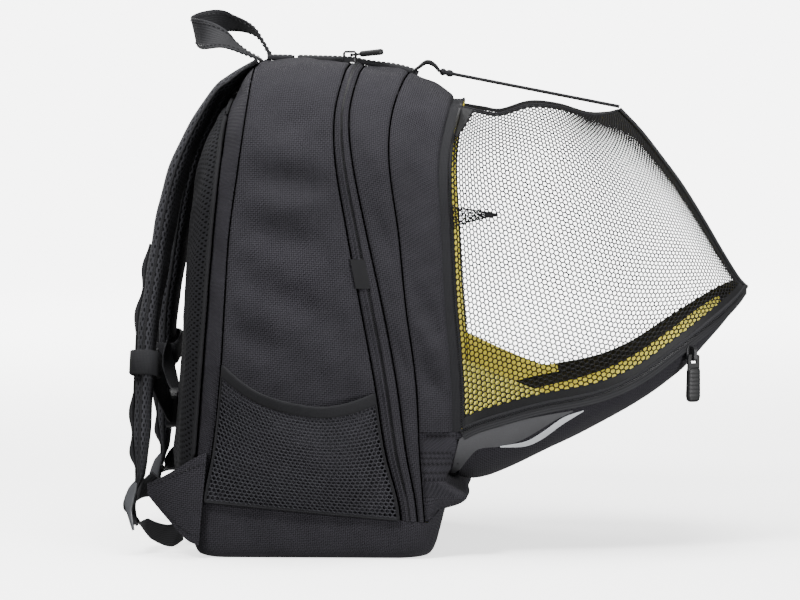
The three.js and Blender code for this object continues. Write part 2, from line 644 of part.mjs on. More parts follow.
function makeNet() {
  const patch = netPatch();
  const grid = steps(NET_STEPS.up).map((v) => steps(NET_STEPS.along).map((u) => patch(u, v)));
  const { along, up, start, foot, tip, inside, steps: count } = LINING_CORNER;
  const corner = steps(count).map((t) => {
    const height = Math.max(up * (1 - t), tip);
    return steps(2).map((k) => patch(along * t + start, foot + height * k));
  });
  for (const { name, side } of [{ name: 'left', side: -1 }, { name: 'right', side: 1 }]) {
    add(`net_${name}`, sheet(mirrored(grid, side), NETTING / 2, -NETTING / 2), 'netting');
    const depth = inside * side;
    add(`lining_corner_${name}`, sheet(mirrored(corner, side), -depth, -depth - LINING * side), 'lining');
  }
  const ridge = RIDGE.map(({ x, z }) => point(x, 0, z));
  const lifted = ridge.map((p, i) => {
    const [before, after] = [ridge[Math.max(i - 1, 0)], ridge[Math.min(i + 1, ridge.length - 1)]];
    const tangent = after.clone().sub(before).normalize();
    return p.clone().addScaledVector(point(tangent.z, 0, -tangent.x), RIDGE_TAPE.lift);
  });
  add('net_front_tape', webbing(lifted, ridge.map(() => point(0, 1, 0)), RIDGE_TAPE.width), 'webbing');
}

// Straps, lock and cord on the crest
function crestZ(x) {
  const line = ['rear', 'zipRear', 'zipFront', 'bay', 'front'];
  const rows = line.map((seam) => ({ x: seamX[seam](CREST[seam]), z: CREST[seam] }));
  return column(rows, 'x', 'z')(x);
}

function makeTop() {
  const flat = (from, to, lift, count) => steps(count).map((t) => {
    const x = mix(from, to, t);
    return point(x, 0, crestZ(x) + lift);
  });
  const across = (path) => path.map(() => point(0, 1, 0));
  const lift = WEBBING / 2 + TOP_STRAP.layer;
  const strap = flat(TOP_STRAP.start, TOP_STRAP.end, lift, 8);
  strap.at(-1).z += TOP_STRAP.endLift;
  add('top_strap', webbing(strap, across(strap), TOP_STRAP.width), 'webbing');
  const tail = flat(HANDLE_TAIL.start, HANDLE_TAIL.end, lift, 3);
  add('handle_tail', webbing(tail, across(tail), TOP_STRAP.width), 'webbing');

  const { length, width, height, corner, slotX, slot, lean } = TOP_LOCK;
  const slots = [-slotX, slotX].map((x, i) => ({ x, length: slot, width: TOP_STRAP.width + 1 - i }));
  const lock = add('top_lock', plate(length, width, height, corner, slots), 'plastic');
  lock.position.set(TOP_LOCK.x, 0, TOP_LOCK.z);
  lock.rotation.y = THREE.MathUtils.degToRad(lean);

  const { radius, tipRadius, length: stopLength, sides } = CORD_STOP;
  const stop = add('cord_stop', new THREE.CylinderGeometry(radius, tipRadius, stopLength, sides), 'plastic');
  stop.position.set(CORD_STOP.x, 0, CORD_STOP.z);
  stop.rotation.z = Math.PI / 2;

  const line = new THREE.LineCurve3(point(CORD.startX, 0, CORD.startZ), point(CORD.endX, 0, CORD.endZ));
  const section = new THREE.Shape().absarc(0, 0, CORD.radius, 0, 2 * Math.PI);
  const cord = new THREE.ExtrudeGeometry(section, { steps: CORD.steps, extrudePath: line, curveSegments: 4 });
  add('net_cord', cord, 'webbing');

  const loop = new THREE.CatmullRomCurve3(HANDLE.map(({ x, y, z }) => point(x, y, z)));
  const turns = column(HANDLE.map((row, i) => ({ i, turn: row.turn })), 'i', 'turn');
  const path = steps(HANDLE_WEB.steps).map((t) => loop.getPoint(t));
  const widths = strapFrames(path).map((frame, i) => {
    const turn = THREE.MathUtils.degToRad(turns(i / HANDLE_WEB.steps * (HANDLE.length - 1)));
    const level = point(0, Math.cos(turn), Math.sin(turn));
    return level.addScaledVector(frame.tangent, -level.dot(frame.tangent)).normalize();
  });
  add('grab_handle', webbing(path, widths, HANDLE_WEB.width, HANDLE_WEB.thickness), 'webbing');
}

// Shoulder harness on one side
function strapPath(side) {
  return new THREE.CatmullRomCurve3(STRAP.map(({ x, y, z }) => point(x, side * y, z)));
}

function strapSize(name) {
  const rows = STRAP.map((row, i) => ({ share: i / (STRAP.length - 1), size: row[name] }));
  return column(rows, 'share', 'size');
}

function makeHarness(name, side) {
  const curve = strapPath(side);
  const [wide, thick] = [strapSize('wide'), strapSize('thick')];
  const shares = steps(STRAP_STEPS);
  const frames = strapFrames(shares.map((t) => curve.getPoint(t)));
  const rings = frames.map((frame, i) => sectionRing(frame, wide(shares[i]), thick(shares[i]), STRAP_SIDES));
  add(`shoulder_strap_${name}`, loft(rings), 'airMesh');

  const webShares = steps(STRAP_WEB.steps).map((t) => mix(STRAP_WEB.from, STRAP_WEB.to, t));
  const webFrames = strapFrames(webShares.map((t) => curve.getPoint(t)));
  const outward = Math.sign(-webFrames[0].out.x);
  const webPath = webFrames.map((frame, i) => {
    const t = i / STRAP_WEB.steps;
    const bulge = STRAP_WEB.bulge * Math.sin(t * STRAP_WEB.bulges * Math.PI) ** 2;
    const nearKeeper = Math.abs(webShares[i] - KEEPER.at) < KEEPER.webReach ? 0 : bulge;
    const height = thick(webShares[i]) + STRAP_WEB.lift + nearKeeper;
    return frame.p.clone().addScaledVector(frame.out, outward * height);
  });
  const lockTop = STRAP_LOCK.z + STRAP_LOCK.length / 2 + SEAM_GAP;
  webPath.push(webPath.at(-1).clone().setZ(lockTop));
  const webAcross = [...webFrames.map((frame) => frame.across), point(0, 1, 0)];
  add(`strap_webbing_${name}`, webbing(webPath, webAcross, STRAP_WEB.width), 'webbing');

  const [keeperFrame] = strapFrames([-1, 0, 1].map((k) => curve.getPoint(KEEPER.at + k * 0.02))).slice(1, 2);
  const keeperRings = [0, KEEPER.wall].map((wall) => [-0.5, 0.5].map((k) => {
    const p = keeperFrame.p.clone().addScaledVector(keeperFrame.tangent, k * KEEPER.height);
    const reach = KEEPER.clear + wall;
    const size = [wide(KEEPER.at) + reach, thick(KEEPER.at) + reach];
    return sectionRing({ ...keeperFrame, p }, ...size, KEEPER.sides, KEEPER.roundness);
  }));
  add(`strap_keeper_${name}`, between(keeperRings[1], keeperRings[0], true), 'webbing');

  const { pitch, length: slot } = LOCK_SLOT;
  const lockSlots = [-pitch, 0, pitch].map((x, i) => ({ x, length: slot, width: ANCHOR_WIDTH + 2 - i }));
  const lock = plate(STRAP_LOCK.length, STRAP_LOCK.width, STRAP_LOCK.height, STRAP_LOCK.corner, lockSlots);
  const lockMesh = add(`strap_lock_${name}`, lock, 'greyPlastic');
  lockMesh.position.set(STRAP_LOCK.x, side * STRAP_LOCK.y, STRAP_LOCK.z);
  lockMesh.rotation.y = Math.PI / 2 + THREE.MathUtils.degToRad(STRAP_LOCK.lean);

  const wing = WING.map(({ top, bottom }) => steps(3).map((t) => {
    const [x, y, z] = top.map((value, k) => mix(value, bottom[k], t));
    return point(x, side * y, z);
  }));
  add(`anchor_wing_${name}`, sheet(wing, WING_THICKNESS / 2, -WING_THICKNESS / 2), 'polyester');

  const anchorPath = ANCHOR_WEB.map(({ x, y, z }) => point(x, side * y, z));
  const anchorAcross = strapFrames(anchorPath).map((frame, i) => {
    const turn = THREE.MathUtils.degToRad(ANCHOR_WEB[i].turn);
    const level = point(-0.5 * Math.sin(turn), side * Math.cos(turn), Math.sin(turn));
    return level.addScaledVector(frame.tangent, -level.dot(frame.tangent)).normalize();
  });
  add(`anchor_webbing_${name}`, webbing(anchorPath, anchorAcross, ANCHOR_WIDTH), 'webbing');

  const tail = new THREE.CatmullRomCurve3(TAIL_WEB.map(({ x, y, z }) => point(x, side * y, z))).getPoints(10);
  add(`tail_webbing_${name}`, webbing(tail, tail.map(() => point(0, 1, 0)), ANCHOR_WIDTH), 'webbing');
}

function makeSternumStrap() {
  const half = steps(STERNUM_STEPS).map((t) => {
    const sag = t * t * (3 - 2 * t);
    const y = mix(STERNUM.innerY, STERNUM_BUCKLE.length / 2 + STERNUM.endGap, t);
    return point(mix(STERNUM.innerX, STERNUM.lowX, sag), y, mix(STERNUM.innerZ, STERNUM.lowZ, sag));
  });
  for (const { name, side } of [{ name: 'left', side: -1 }, { name: 'right', side: 1 }]) {
    const path = half.map((p) => point(p.x, side * p.y, p.z));
    const frames = strapFrames(path);
    const upright = ({ tangent }) => point(0, 0, 1).addScaledVector(tangent, -tangent.z).normalize();
    const across = frames.map(upright);
    add(`sternum_strap_${name}`, webbing(path, across, STERNUM.width), 'webbing');
  }
  const { length, width, height, corner } = STERNUM_BUCKLE;
  const slots = [-1, 1].map((end) => {
    const x = end * (length / 2 - BUCKLE_SLOT.inset);
    return { x, length: BUCKLE_SLOT.length, width: BUCKLE_SLOT.width - end / 2 };
  });
  const form = plate(length, width, height, corner, slots).rotateX(Math.PI / 2).rotateZ(Math.PI / 2);
  const buckle = add('sternum_buckle', form, 'plastic');
  buckle.position.set(STERNUM.lowX, 0, STERNUM.lowZ);
}

// Side pocket surface, from the rear seam to the zip across it
const pocketTop = column(POCKET, 'across', 'top');

function pocketPoint(side, across, z) {
  const x = mix(seamX.rear(z) + POCKET_FORM.edge, seamX.zipRear(z) - POCKET_FORM.edge, across);
  const foot = rimZ(x);
  const up = THREE.MathUtils.clamp((z - foot) / (pocketTop(across) - foot), 0, 1);
  const { bulge, sideEase, footEase, lift } = POCKET_FORM;
  const outward = bulge * Math.sin(Math.PI * across) ** sideEase * up ** footEase;
  return point(x, side * (bagHalf(z) + lift + outward), z);
}

function makePocket(name, side) {
  const surface = (low, high, count) => steps(count).map((v) => steps(POCKET_STEPS.across).map((u) => {
    const foot = rimZ(mix(seamX.rear(TRAY_MEETS_Z), seamX.zipRear(TRAY_MEETS_Z), u)) + POCKET_FORM.footGap;
    const top = pocketTop(u);
    return pocketPoint(side, u, mix(low(foot, top), high(foot, top), v));
  }));
  const mesh = surface((foot) => foot, (foot, top) => top - BINDING.width - SEAM_GAP, POCKET_STEPS.up);
  const out = side < 0 ? 1 : -1;
  add(`side_pocket_${name}`, sheet(mesh, out * NETTING, 0), 'netting');
  const band = surface((foot, top) => top - BINDING.width, (foot, top) => top, 1);
  add(`pocket_binding_${name}`, sheet(band, out * BINDING.thickness, 0), 'webbing');
}

// A slider's body with its bridge, lying in the XY plane with the bridge standing up along X
function sliderGeometry() {
  const body = plate(SLIDER.length, SLIDER.width, SLIDER.height, SLIDER.corner);
  const [half, top, bar] = [BRIDGE.length / 2, SLIDER.height / 2 + BRIDGE.reach, BRIDGE.bar];
  const foot = SLIDER.height / 2 - BRIDGE.sunk;
  const bridge = new THREE.Shape();
  bridge.moveTo(-half, foot);
  bridge.lineTo(half, foot);
  bridge.lineTo(half, top - bar);
  bridge.lineTo(half - bar, top);
  bridge.lineTo(-half + bar, top);
  bridge.lineTo(-half, top - bar);
  const eye = new THREE.Path();
  eye.moveTo(-half + bar, foot + bar);
  eye.lineTo(-half + bar, top - bar);
  eye.lineTo(half - bar, top - bar);
  eye.lineTo(half - bar, foot + bar);
  bridge.holes.push(eye);
  const arm = new THREE.ExtrudeGeometry(bridge, { depth: BRIDGE.width, bevelEnabled: false });
  arm.rotateX(Math.PI / 2);
  arm.translate(0, BRIDGE.width / 2, 0);
  return join(body, arm);
}

// A puller that reaches along +X from the middle of its eye bar
function pullerGeometry(length) {
  const { width, thickness, corner } = PULLER;
  const { length: eye, width: eyeWidth, bar } = PULLER_EYE;
  const slot = { x: -length / 2 + bar + eye / 2, length: eye, width: eyeWidth };
  return plate(length, width, thickness, corner, [slot]).translate(length / 2 - bar / 2, 0, 0);
}

function makeZips() {
  const eyeHeight = SLIDER.height / 2 + (BRIDGE.reach - BRIDGE.sunk) / 2;
  const flapZip = new THREE.Group();
  const taper = Math.atan2(flapHalf(FLAP_SLIDER.x - 2) - flapHalf(FLAP_SLIDER.x + 2), 4);
  const along = point(Math.cos(taper), Math.sin(taper), 0);
  const out = point(Math.sin(taper), -Math.cos(taper), 0);
  const seat = flapPoint(FLAP_SLIDER.x, FLAP_SLIDER.across).setZ(FLAP_SLIDER.z);
  flapZip.position.copy(seat).addScaledVector(out, FLAP_SLIDER.clear + SLIDER.height / 2);
  flapZip.quaternion.setFromRotationMatrix(new THREE.Matrix4().makeBasis(point(0, 0, -1), along, out));
  backpack.add(flapZip);
  add('flap_slider', sliderGeometry(), 'metal', flapZip);
  const flapPuller = add('flap_puller', pullerGeometry(PULLER.length), 'plastic', flapZip);
  flapPuller.position.set(PULLER.eyeX, 0, eyeHeight);

  const mainZip = new THREE.Group();
  mainZip.position.set(MAIN_SLIDER.x, MAIN_SLIDER.y, MAIN_SLIDER.z);
  backpack.add(mainZip);
  add('main_slider', sliderGeometry(), 'metal', mainZip);
  const mainPuller = add('main_puller', pullerGeometry(MAIN_PULLER_LENGTH), 'plastic', mainZip);
  mainPuller.position.set(PULLER.eyeX, 0, eyeHeight);
  mainPuller.rotation.y = -THREE.MathUtils.degToRad(MAIN_SLIDER.rest);
}

function makeZipTab() {
  const { z, height, width, thickness, overlap, lift } = ZIP_TAB;
  const grid = steps(2).map((v) => steps(2).map((u) => {
    const level = mix(z - height / 2, z + height / 2, v);
    return point(width * u + seamX.zipRear(level) - overlap, -bagHalf(level) - lift, level);
  }));
  add('zip_tab', sheet(grid, thickness, 0), 'webbing');
}

makeBaseTray();
makeBackPanel();
makeBody();
makeFrontWall();
makeLowerGusset();
makeFlap();
makeNet();
makeTop();
makeHarness('left', -1);
makeHarness('right', 1);
makeSternumStrap();
makePocket('left', -1);
makePocket('right', 1);
makeZips();
makeZipTab();

export default backpack;
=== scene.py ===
"""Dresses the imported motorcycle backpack: cloth, net, webbing, zips and trim around the fixed frame.

Shapes are worked out in millimetres in the frame of the solids and become objects in metres.
"""

from __future__ import annotations

import json
import logging
import math
from collections.abc import Callable, Sequence
from dataclasses import dataclass, field
from enum import Enum

import bmesh
import bpy
import numpy as np
from bpy.types import Material, Mesh, Node, NodeSocket, NodeTree, Object
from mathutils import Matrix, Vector
from mathutils.kdtree import KDTree

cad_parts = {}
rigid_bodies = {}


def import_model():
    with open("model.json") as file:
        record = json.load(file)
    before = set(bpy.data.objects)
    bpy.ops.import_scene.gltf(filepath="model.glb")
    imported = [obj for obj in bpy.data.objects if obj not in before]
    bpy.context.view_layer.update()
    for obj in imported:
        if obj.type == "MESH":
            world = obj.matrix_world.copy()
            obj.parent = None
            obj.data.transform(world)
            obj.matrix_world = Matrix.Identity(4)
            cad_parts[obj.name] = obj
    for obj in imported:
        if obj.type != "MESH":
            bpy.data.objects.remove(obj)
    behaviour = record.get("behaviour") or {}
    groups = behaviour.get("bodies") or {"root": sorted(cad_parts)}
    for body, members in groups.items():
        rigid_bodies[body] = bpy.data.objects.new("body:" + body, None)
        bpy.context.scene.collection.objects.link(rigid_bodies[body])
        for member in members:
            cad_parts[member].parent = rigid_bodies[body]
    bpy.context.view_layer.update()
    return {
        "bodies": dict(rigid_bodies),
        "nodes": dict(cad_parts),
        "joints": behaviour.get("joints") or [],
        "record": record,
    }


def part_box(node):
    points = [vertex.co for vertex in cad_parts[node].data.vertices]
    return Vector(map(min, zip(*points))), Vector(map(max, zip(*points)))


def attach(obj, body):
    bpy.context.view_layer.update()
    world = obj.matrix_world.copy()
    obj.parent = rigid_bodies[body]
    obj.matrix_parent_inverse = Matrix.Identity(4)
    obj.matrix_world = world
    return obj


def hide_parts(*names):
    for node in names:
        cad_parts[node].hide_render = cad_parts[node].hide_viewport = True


LOG = logging.getLogger("backpack")
MM = 0.001
Array = np.ndarray
Point = tuple[float, float, float]
# The frame's directions, and the factors that carry points to the bag's other side.
FORWARD, ACROSS, UP = np.eye(3)
MIRROR = np.array([1.0, -1.0, 1.0])


class Side(Enum):
    """The wearer's left and right, as the sign of Y."""

    LEFT = -1
    RIGHT = 1

    @property
    def word(self) -> str:
        """The side's name as the nodes end with it."""
        return self.name.lower()

    @property
    def flip(self) -> Array:
        """The factors that carry points of the right side to this one."""
        return np.array([1.0, self.value, 1.0])


class Seam(Enum):
    """The seams that run over the bag, from the back to the bay."""

    BACK = "back"
    REAR = "rear"
    ZIP_REAR = "zip_rear"
    ZIP_FRONT = "zip_front"
    BAY = "bay"
    FRONT = "front"


@dataclass(frozen=True)
class Table:
    """Sizes in millimetres in named columns, read smoothly along the first column."""

    names: tuple[str, ...]
    rows: tuple[tuple[float, ...], ...]

    def column(self, name: str) -> Array:
        """One column as it stands."""
        return np.array([row[self.names.index(name)] for row in self.rows], float)

    def read(self, name: str, place: Array | float) -> Array:
        """Reads a column at places along the first column.

        Args:
            name: The column to read.
            place: Where to read it; past an end the end's value holds.

        Returns:
            The smooth values, in the shape of place.
        """
        at, value = self.column(self.names[0]), self.column(name)
        return hermite(at, value[:, None], np.asarray(place, float))[..., 0]

    def line(self, place: Array) -> Array:
        """Points from the columns x, y and z at places along the first column."""
        return np.stack([self.read(name, place) for name in "xyz"], axis=-1)


def hermite(at: Array, value: Array, place: Array) -> Array:
    """Smooth values through given ones.

    Args:
        at: Rising places of the given values.
        value: The given values, one row for each place.
        place: The places to read.

    Returns:
        One row of values for each place.
    """
    last = len(at) - 1
    index = np.arange(last + 1)
    before, after = np.maximum(index - 1, 0), np.minimum(index + 1, last)
    slope = (value[after] - value[before]) / (at[after] - at[before])[:, None]
    i = np.clip(np.searchsorted(at, place) - 1, 0, last - 1)
    span = (at[i + 1] - at[i])[..., None]
    t = np.clip((place - at[i])[..., None] / span, 0, 1)
    ease = t * t * (3 - 2 * t)
    bend = t * (1 - t) ** 2 * slope[i] - t * t * (1 - t) * slope[i + 1]
    return value[i] + (value[i + 1] - value[i]) * ease + span * bend


def mix(a: Array | float, b: Array | float, t: Array | float) -> Array:
    """The value between a and b at share t."""
    return a + (b - a) * t


def unit(v: Array) -> Array:
    """Vectors of length one."""
    return v / np.maximum(np.linalg.norm(v, axis=-1, keepdims=True), 1e-9)


def between(place: Array, at: Array, value: Array) -> Array:
    """Rows of values read straight between given ones.

    Args:
        place: The places to read.
        at: Rising places of the given values.
        value: The given values, one row for each place.

    Returns:
        One row of values for each place.
    """
    return np.stack([np.interp(place, at, column) for column in value.T], axis=-1)


def lengths(points: Array, axis: int = 0) -> Array:
    """How far each point is from the first one, along an axis of a grid."""
    steps = np.diff(points, axis=axis, prepend=points.take([0], axis))
    return np.cumsum(np.linalg.norm(steps, axis=-1), axis=axis)


class Path:
    """A smooth line through points, read by its share of length."""

    DENSE = 900

    def __init__(self, points: Sequence[Sequence[float]]) -> None:
        """Args: points: The points in millimetres, in order."""
        order = np.linspace(0, 1, len(points))
        self.line = hermite(order, np.array(points, float), np.linspace(0, 1, self.DENSE))
        self.gone = lengths(self.line)
        self.length = float(self.gone[-1])

    def by_length(self, share: Array) -> Array:
        """Places at shares of the length."""
        return between(np.asarray(share, float) * self.length, self.gone, self.line)


def tangents(path: Array) -> Array:
    """Directions along a line of points."""
    return unit(np.gradient(path, axis=0))


def square_to(path: Array, guide: Array) -> Array:
    """Directions square to a line of points, each as near to its guide as it can be."""
    along = tangents(path)
    return unit(guide - along * np.sum(guide * along, axis=-1, keepdims=True))


def normals(grid: Array) -> Array:
    """Directions out of a grid of points, to the left of its rows."""
    return unit(np.cross(np.gradient(grid, axis=1), np.gradient(grid, axis=0)))


def signed_power(value: Array, power: float) -> Array:
    """The power of a value's size, with its sign."""
    return np.sign(value) * np.abs(value) ** power


def to_linear(code: str) -> tuple[float, float, float, float]:
    """Turns a colour as seen on a screen into a shader's colour.

    Args:
        code: The sRGB colour as hex digits.

    Returns:
        Linear red, green and blue, and full alpha.
    """
    shares = [int(code[k:k + 2], 16) / 255 for k in (0, 2, 4)]
    linear = [c / 12.92 if c <= 0.04045 else ((c + 0.055) / 1.055) ** 2.4 for c in shares]
    return (*linear, 1.0)


def add_node(
    tree: NodeTree, kind: str, settings: dict | None = None, sockets: dict | None = None
) -> Node:
    """Adds one node to a material.

    Args:
        tree: The material's nodes.
        kind: Blender's name for the node.
        settings: Properties to set on it.
        sockets: Inputs by name or number, each a value or an output to link.

    Returns:
        The new node.
    """
    made = tree.nodes.new(kind)
    for key, value in (settings or {}).items():
        setattr(made, key, value)
    for key, value in (sockets or {}).items():
        if isinstance(value, NodeSocket):
            tree.links.new(value, made.inputs[key])
        else:
            made.inputs[key].default_value = value
    return made


@dataclass(frozen=True)
class Finish:
    """A real material: its name, its two shades and how it takes the light."""

    name: str
    shade: str
    light: str
    roughness: float = 0.8
    sheen: float = 0.0
    metallic: float = 0.0
    specular: float = 0.5

    def material(self) -> Material:
        """Makes the material once.

        Returns:
            The material, with its pattern in nodes.
        """
        found = bpy.data.materials.get(self.name)
        if found:
            return found
        made = bpy.data.materials.new(self.name)
        made.use_nodes = True
        tree = made.node_tree
        shader = next(n for n in tree.nodes if n.type == "BSDF_PRINCIPLED")
        shader.inputs["Roughness"].default_value = self.roughness
        shader.inputs["Metallic"].default_value = self.metallic
        shader.inputs["Specular IOR Level"].default_value = self.specular
        shader.inputs["Sheen Weight"].default_value = self.sheen
        self.dress(tree, shader)
        return made

    def dress(self, tree: NodeTree, shader: Node) -> None:
        """Adds the pattern's nodes; each kind of finish has its own."""
        raise NotImplementedError

    @staticmethod
    def waves(
        tree: NodeTree, pitches: tuple[float, float], steps: Sequence[str]
    ) -> list[NodeSocket]:
        """Adds waves across and along the cloth.

        Args:
            tree: The material's nodes.
            pitches: Half a wave's length in millimetres, across and along.
            steps: The sums done with each wave's angle, in order.

        Returns:
            The output of each wave.
        """
        place = add_node(tree, "ShaderNodeTexCoord").outputs["UV"]
        part = add_node(tree, "ShaderNodeSeparateXYZ", None, {0: place})
        found = []
        for axis, pitch in zip("XY", pitches):
            wave = add_node(tree, "ShaderNodeMath", {"operation": "MULTIPLY"}, {
                0: part.outputs[axis], 1: 1000 * math.pi / pitch})
            for step in steps:
                wave = add_node(tree, "ShaderNodeMath", {"operation": step}, {0: wave.outputs[0]})
            found.append(wave.outputs[0])
        return found

    def paint(
        self, tree: NodeTree, shader: Node, height: NodeSocket,
        relief_mm: float, wear_mm: float = 60.0, wear: float = 0.45,
    ) -> None:
        """Colours and embosses the surface by a pattern's height, with slow uneven wear; where the pattern is
        a relief, the dark colour in its hollows is painted shade and the pale colour on its crowns a painted
        highlight.

        Args:
            tree: The material's nodes.
            shader: Its shader.
            height: The pattern, from 0 in its hollows to 1.
            relief_mm: The pattern's depth.
            wear_mm: The size of the uneven patches.
            wear: Their share of the shade.
        """
        place = add_node(tree, "ShaderNodeTexCoord").outputs["Object"]
        patch = add_node(tree, "ShaderNodeTexNoise", None, {
            "Vector": place, "Scale": 1000 / wear_mm, "Detail": 5.0, "Roughness": 0.62})
        share = add_node(tree, "ShaderNodeMix", {"data_type": "FLOAT"}, {
            0: wear, 2: height, 3: patch.outputs["Fac"]})
        # Painted shade where the pattern is low and painted highlight where it is high, for threads, ribs and
        # mesh holes; for moulded grain the pattern is random tone.
        colour = add_node(tree, "ShaderNodeMix", {"data_type": "RGBA"}, {
            0: share.outputs[0], 6: to_linear(self.shade), 7: to_linear(self.light)})
        tree.links.new(colour.outputs[2], shader.inputs["Base Color"])
        bump = add_node(tree, "ShaderNodeBump", None, {
            "Strength": 0.7, "Distance": relief_mm * MM, "Height": height})
        tree.links.new(bump.outputs["Normal"], shader.inputs["Normal"])


@dataclass(frozen=True)
class WovenCloth(Finish):
    """Plain weave of thick threads: a fine check of raised threads that catches light along its folds; the
    threads' crowns are painted paler as painted highlight and the gaps between them darker as painted shade.
    """

    thread_mm: float = 1.5
    relief_mm: float = 0.3

    def dress(self, tree: NodeTree, shader: Node) -> None:
        """Adds warp and weft threads that pass over each other."""
        warp, weft = self.waves(tree, (self.thread_mm, self.thread_mm), ("SINE", "ABSOLUTE"))
        place = add_node(tree, "ShaderNodeTexCoord").outputs["UV"]
        over = add_node(tree, "ShaderNodeTexChecker", None, {"Vector": place, "Scale": 1000 / self.thread_mm})
        height = add_node(tree, "ShaderNodeMix", {"data_type": "FLOAT"}, {
            0: over.outputs["Fac"], 2: warp, 3: weft})
        self.paint(tree, shader, height.outputs[0], self.relief_mm, wear=0.3)


@dataclass(frozen=True)
class Webbing(Finish):
    """Woven tape with ribs along it: rows of ridges, painted bright as a painted highlight with painted shade
    between them, that show which way a strap turns.
    """

    rib_mm: float = 2.2
    pick_mm: float = 1.3
    relief_mm: float = 0.35

    def dress(self, tree: NodeTree, shader: Node) -> None:
        """Adds ribs along the tape and picks across it."""
        ribs, picks = self.waves(tree, (self.rib_mm, self.pick_mm), ("SINE", "ABSOLUTE"))
        height = add_node(tree, "ShaderNodeMix", {"data_type": "FLOAT"}, {0: 0.35, 2: ribs, 3: picks})
        self.paint(tree, shader, height.outputs[0], self.relief_mm)


@dataclass(frozen=True)
class AirMesh(Finish):
    """Knitted spacer mesh: staggered rows of round holes in a raised net, over foam; the holes are painted
    dark as painted shade.
    """

    hole_mm: float = 4.4
    relief_mm: float = 1.2

    def dress(self, tree: NodeTree, shader: Node) -> None:
        """Adds the rows of holes with their knitted edges."""
        row = self.hole_mm / 2
        rows, columns = self.waves(tree, (row, row * math.sqrt(3)), ("COSINE",))
        holes = add_node(tree, "ShaderNodeMath", {"operation": "MULTIPLY"}, {0: rows, 1: columns})
        edge = add_node(tree, "ShaderNodeMapRange", {"interpolation_type": "SMOOTHSTEP"}, {
            0: holes.outputs[0], 1: 0.62, 2: 0.12})
        self.paint(tree, shader, edge.outputs[0], self.relief_mm, wear=0.1)


@dataclass(frozen=True)
class Grained(Finish):
    """Moulded, cast or coated stuff: a fine even grain and a soft gloss."""

    # A real mould's grain is too fine to show, so it is drawn a few times coarser.
    grain_mm: float = 0.6
    relief_mm: float = 0.05

    def dress(self, tree: NodeTree, shader: Node) -> None:
        """Adds the grain, and gloss that varies a little with it."""
        place = add_node(tree, "ShaderNodeTexCoord").outputs["Object"]
        grain = add_node(tree, "ShaderNodeTexNoise", None, {
            "Vector": place, "Scale": 1000 / self.grain_mm, "Detail": 3.0})
        gloss = add_node(tree, "ShaderNodeMapRange", None, {
            0: grain.outputs["Fac"], 3: self.roughness - 0.08, 4: self.roughness + 0.08})
        tree.links.new(gloss.outputs[0], shader.inputs["Roughness"])
        self.paint(tree, shader, grain.outputs["Fac"], self.relief_mm, wear_mm=14.0)


@dataclass(frozen=True)
class Finishes:
    """Every finish of the bag; a comment says what each gives the eye."""

    # Matt black cloth whose threads glint one by one: each thread's crown is painted grey as a painted
    # highlight and its gaps black as painted shade. Real ones lie 0.5 mm apart, too fine to show here.
    polyester: Finish = WovenCloth(
        "polyester_cloth_woven", "000000", "2d2c30", 0.8, 0.01, specular=0.05, thread_mm=1.8, relief_mm=0.6)
    # Deep black padding with rows of round holes, painted darker inside as painted shade.
    air_mesh: Finish = AirMesh("polyester_air_mesh_knitted", "020202", "1b1b1d", 0.85, 0.01, specular=0.05)
    # The same knit over thin foam, its colours painted greyer than the back panel's: painted light for the
    # light that falls on the straps.
    strap_mesh: Finish = AirMesh("polyester_strap_mesh_knitted", "040405", "2a2a2d", 0.8, 0.01, specular=0.07)
    # Thin black strands with a faint shine, clear against the lining.
    netting: Finish = Grained("nylon_net_knotless", "060607", "141415", 0.6, specular=0.15, grain_mm=0.8)
    # Greyer strands that stand out from the dark cloth behind them.
    pocket_mesh: Finish = Grained(
        "polyester_mesh_knitted", "131315", "333337", 0.6, specular=0.15, grain_mm=0.8)
    # Ribbed tape with a dull gleam on every ridge, painted on as a painted highlight, and painted shade
    # between the ribs. Real ribs are half as wide, too fine to show here.
    webbing: Finish = Webbing("polypropylene_webbing_woven", "0a0a0b", "28282a", 0.66, 0.01, specular=0.1)
    # Fine ribs that stay dull and dark along an edge, their crowns painted a little paler as a painted
    # highlight.
    elastic: Finish = Webbing(
        "elastic_binding_ribbed", "09090a", "212123", 0.75, 0.01, specular=0.08, rib_mm=1.2)
    # Painted shade: a black line laid in the groove where two panels of cloth meet, standing in for the
    # shadow there.
    seam: Finish = Grained(
        "polyester_seam_allowance_woven", "010101", "030303", 0.95, specular=0.0, grain_mm=0.8)
    # Small raised dashes that catch a little more light than the tape under them.
    thread: Finish = Grained("nylon_thread_twisted", "08080a", "19191b", 0.5, specular=0.2, grain_mm=0.5)
    # Even mid grey with a smooth face.
    grey: Finish = Grained(
        "grey_fabric_coated", "2d2d2e", "3e3e40", 0.55, specular=0.08, grain_mm=0.9, relief_mm=0.08)
    # Pale silver that stays bright beside the black.
    reflective: Finish = Grained("silver_reflective_tape_beaded", "7c7e81", "b0b2b5", 0.4, metallic=0.1)
    # Warm yellow with a close weave, the bag's one colour; its thread gaps are painted darker yellow as
    # painted shade and the crowns paler as painted highlight. Real threads are thinner, too fine to show.
    lining: Finish = WovenCloth(
        "yellow_nylon_lining_woven", "c4b94a", "f0e566", 0.75, 0.02, specular=0.12, thread_mm=0.9)
    # Black with a fine grain and a soft highlight.
    plastic: Finish = Grained("black_nylon_moulded", "050506", "101011", 0.5, specular=0.2)
    # Grey with a clear highlight along each bend.
    grey_plastic: Finish = Grained("grey_nylon_moulded", "28292b", "444548", 0.36, specular=0.4)
    # Dark and glossy, like hard paint over metal.
    metal: Finish = Grained("black_enamel_die_cast", "121213", "262628", 0.34, metallic=0.5)
    # Tight black coils with small glints.
    teeth: Finish = Grained("nylon_zip_coil_moulded", "09090a", "1b1b1d", 0.45, specular=0.25)


FINISH = Finishes()


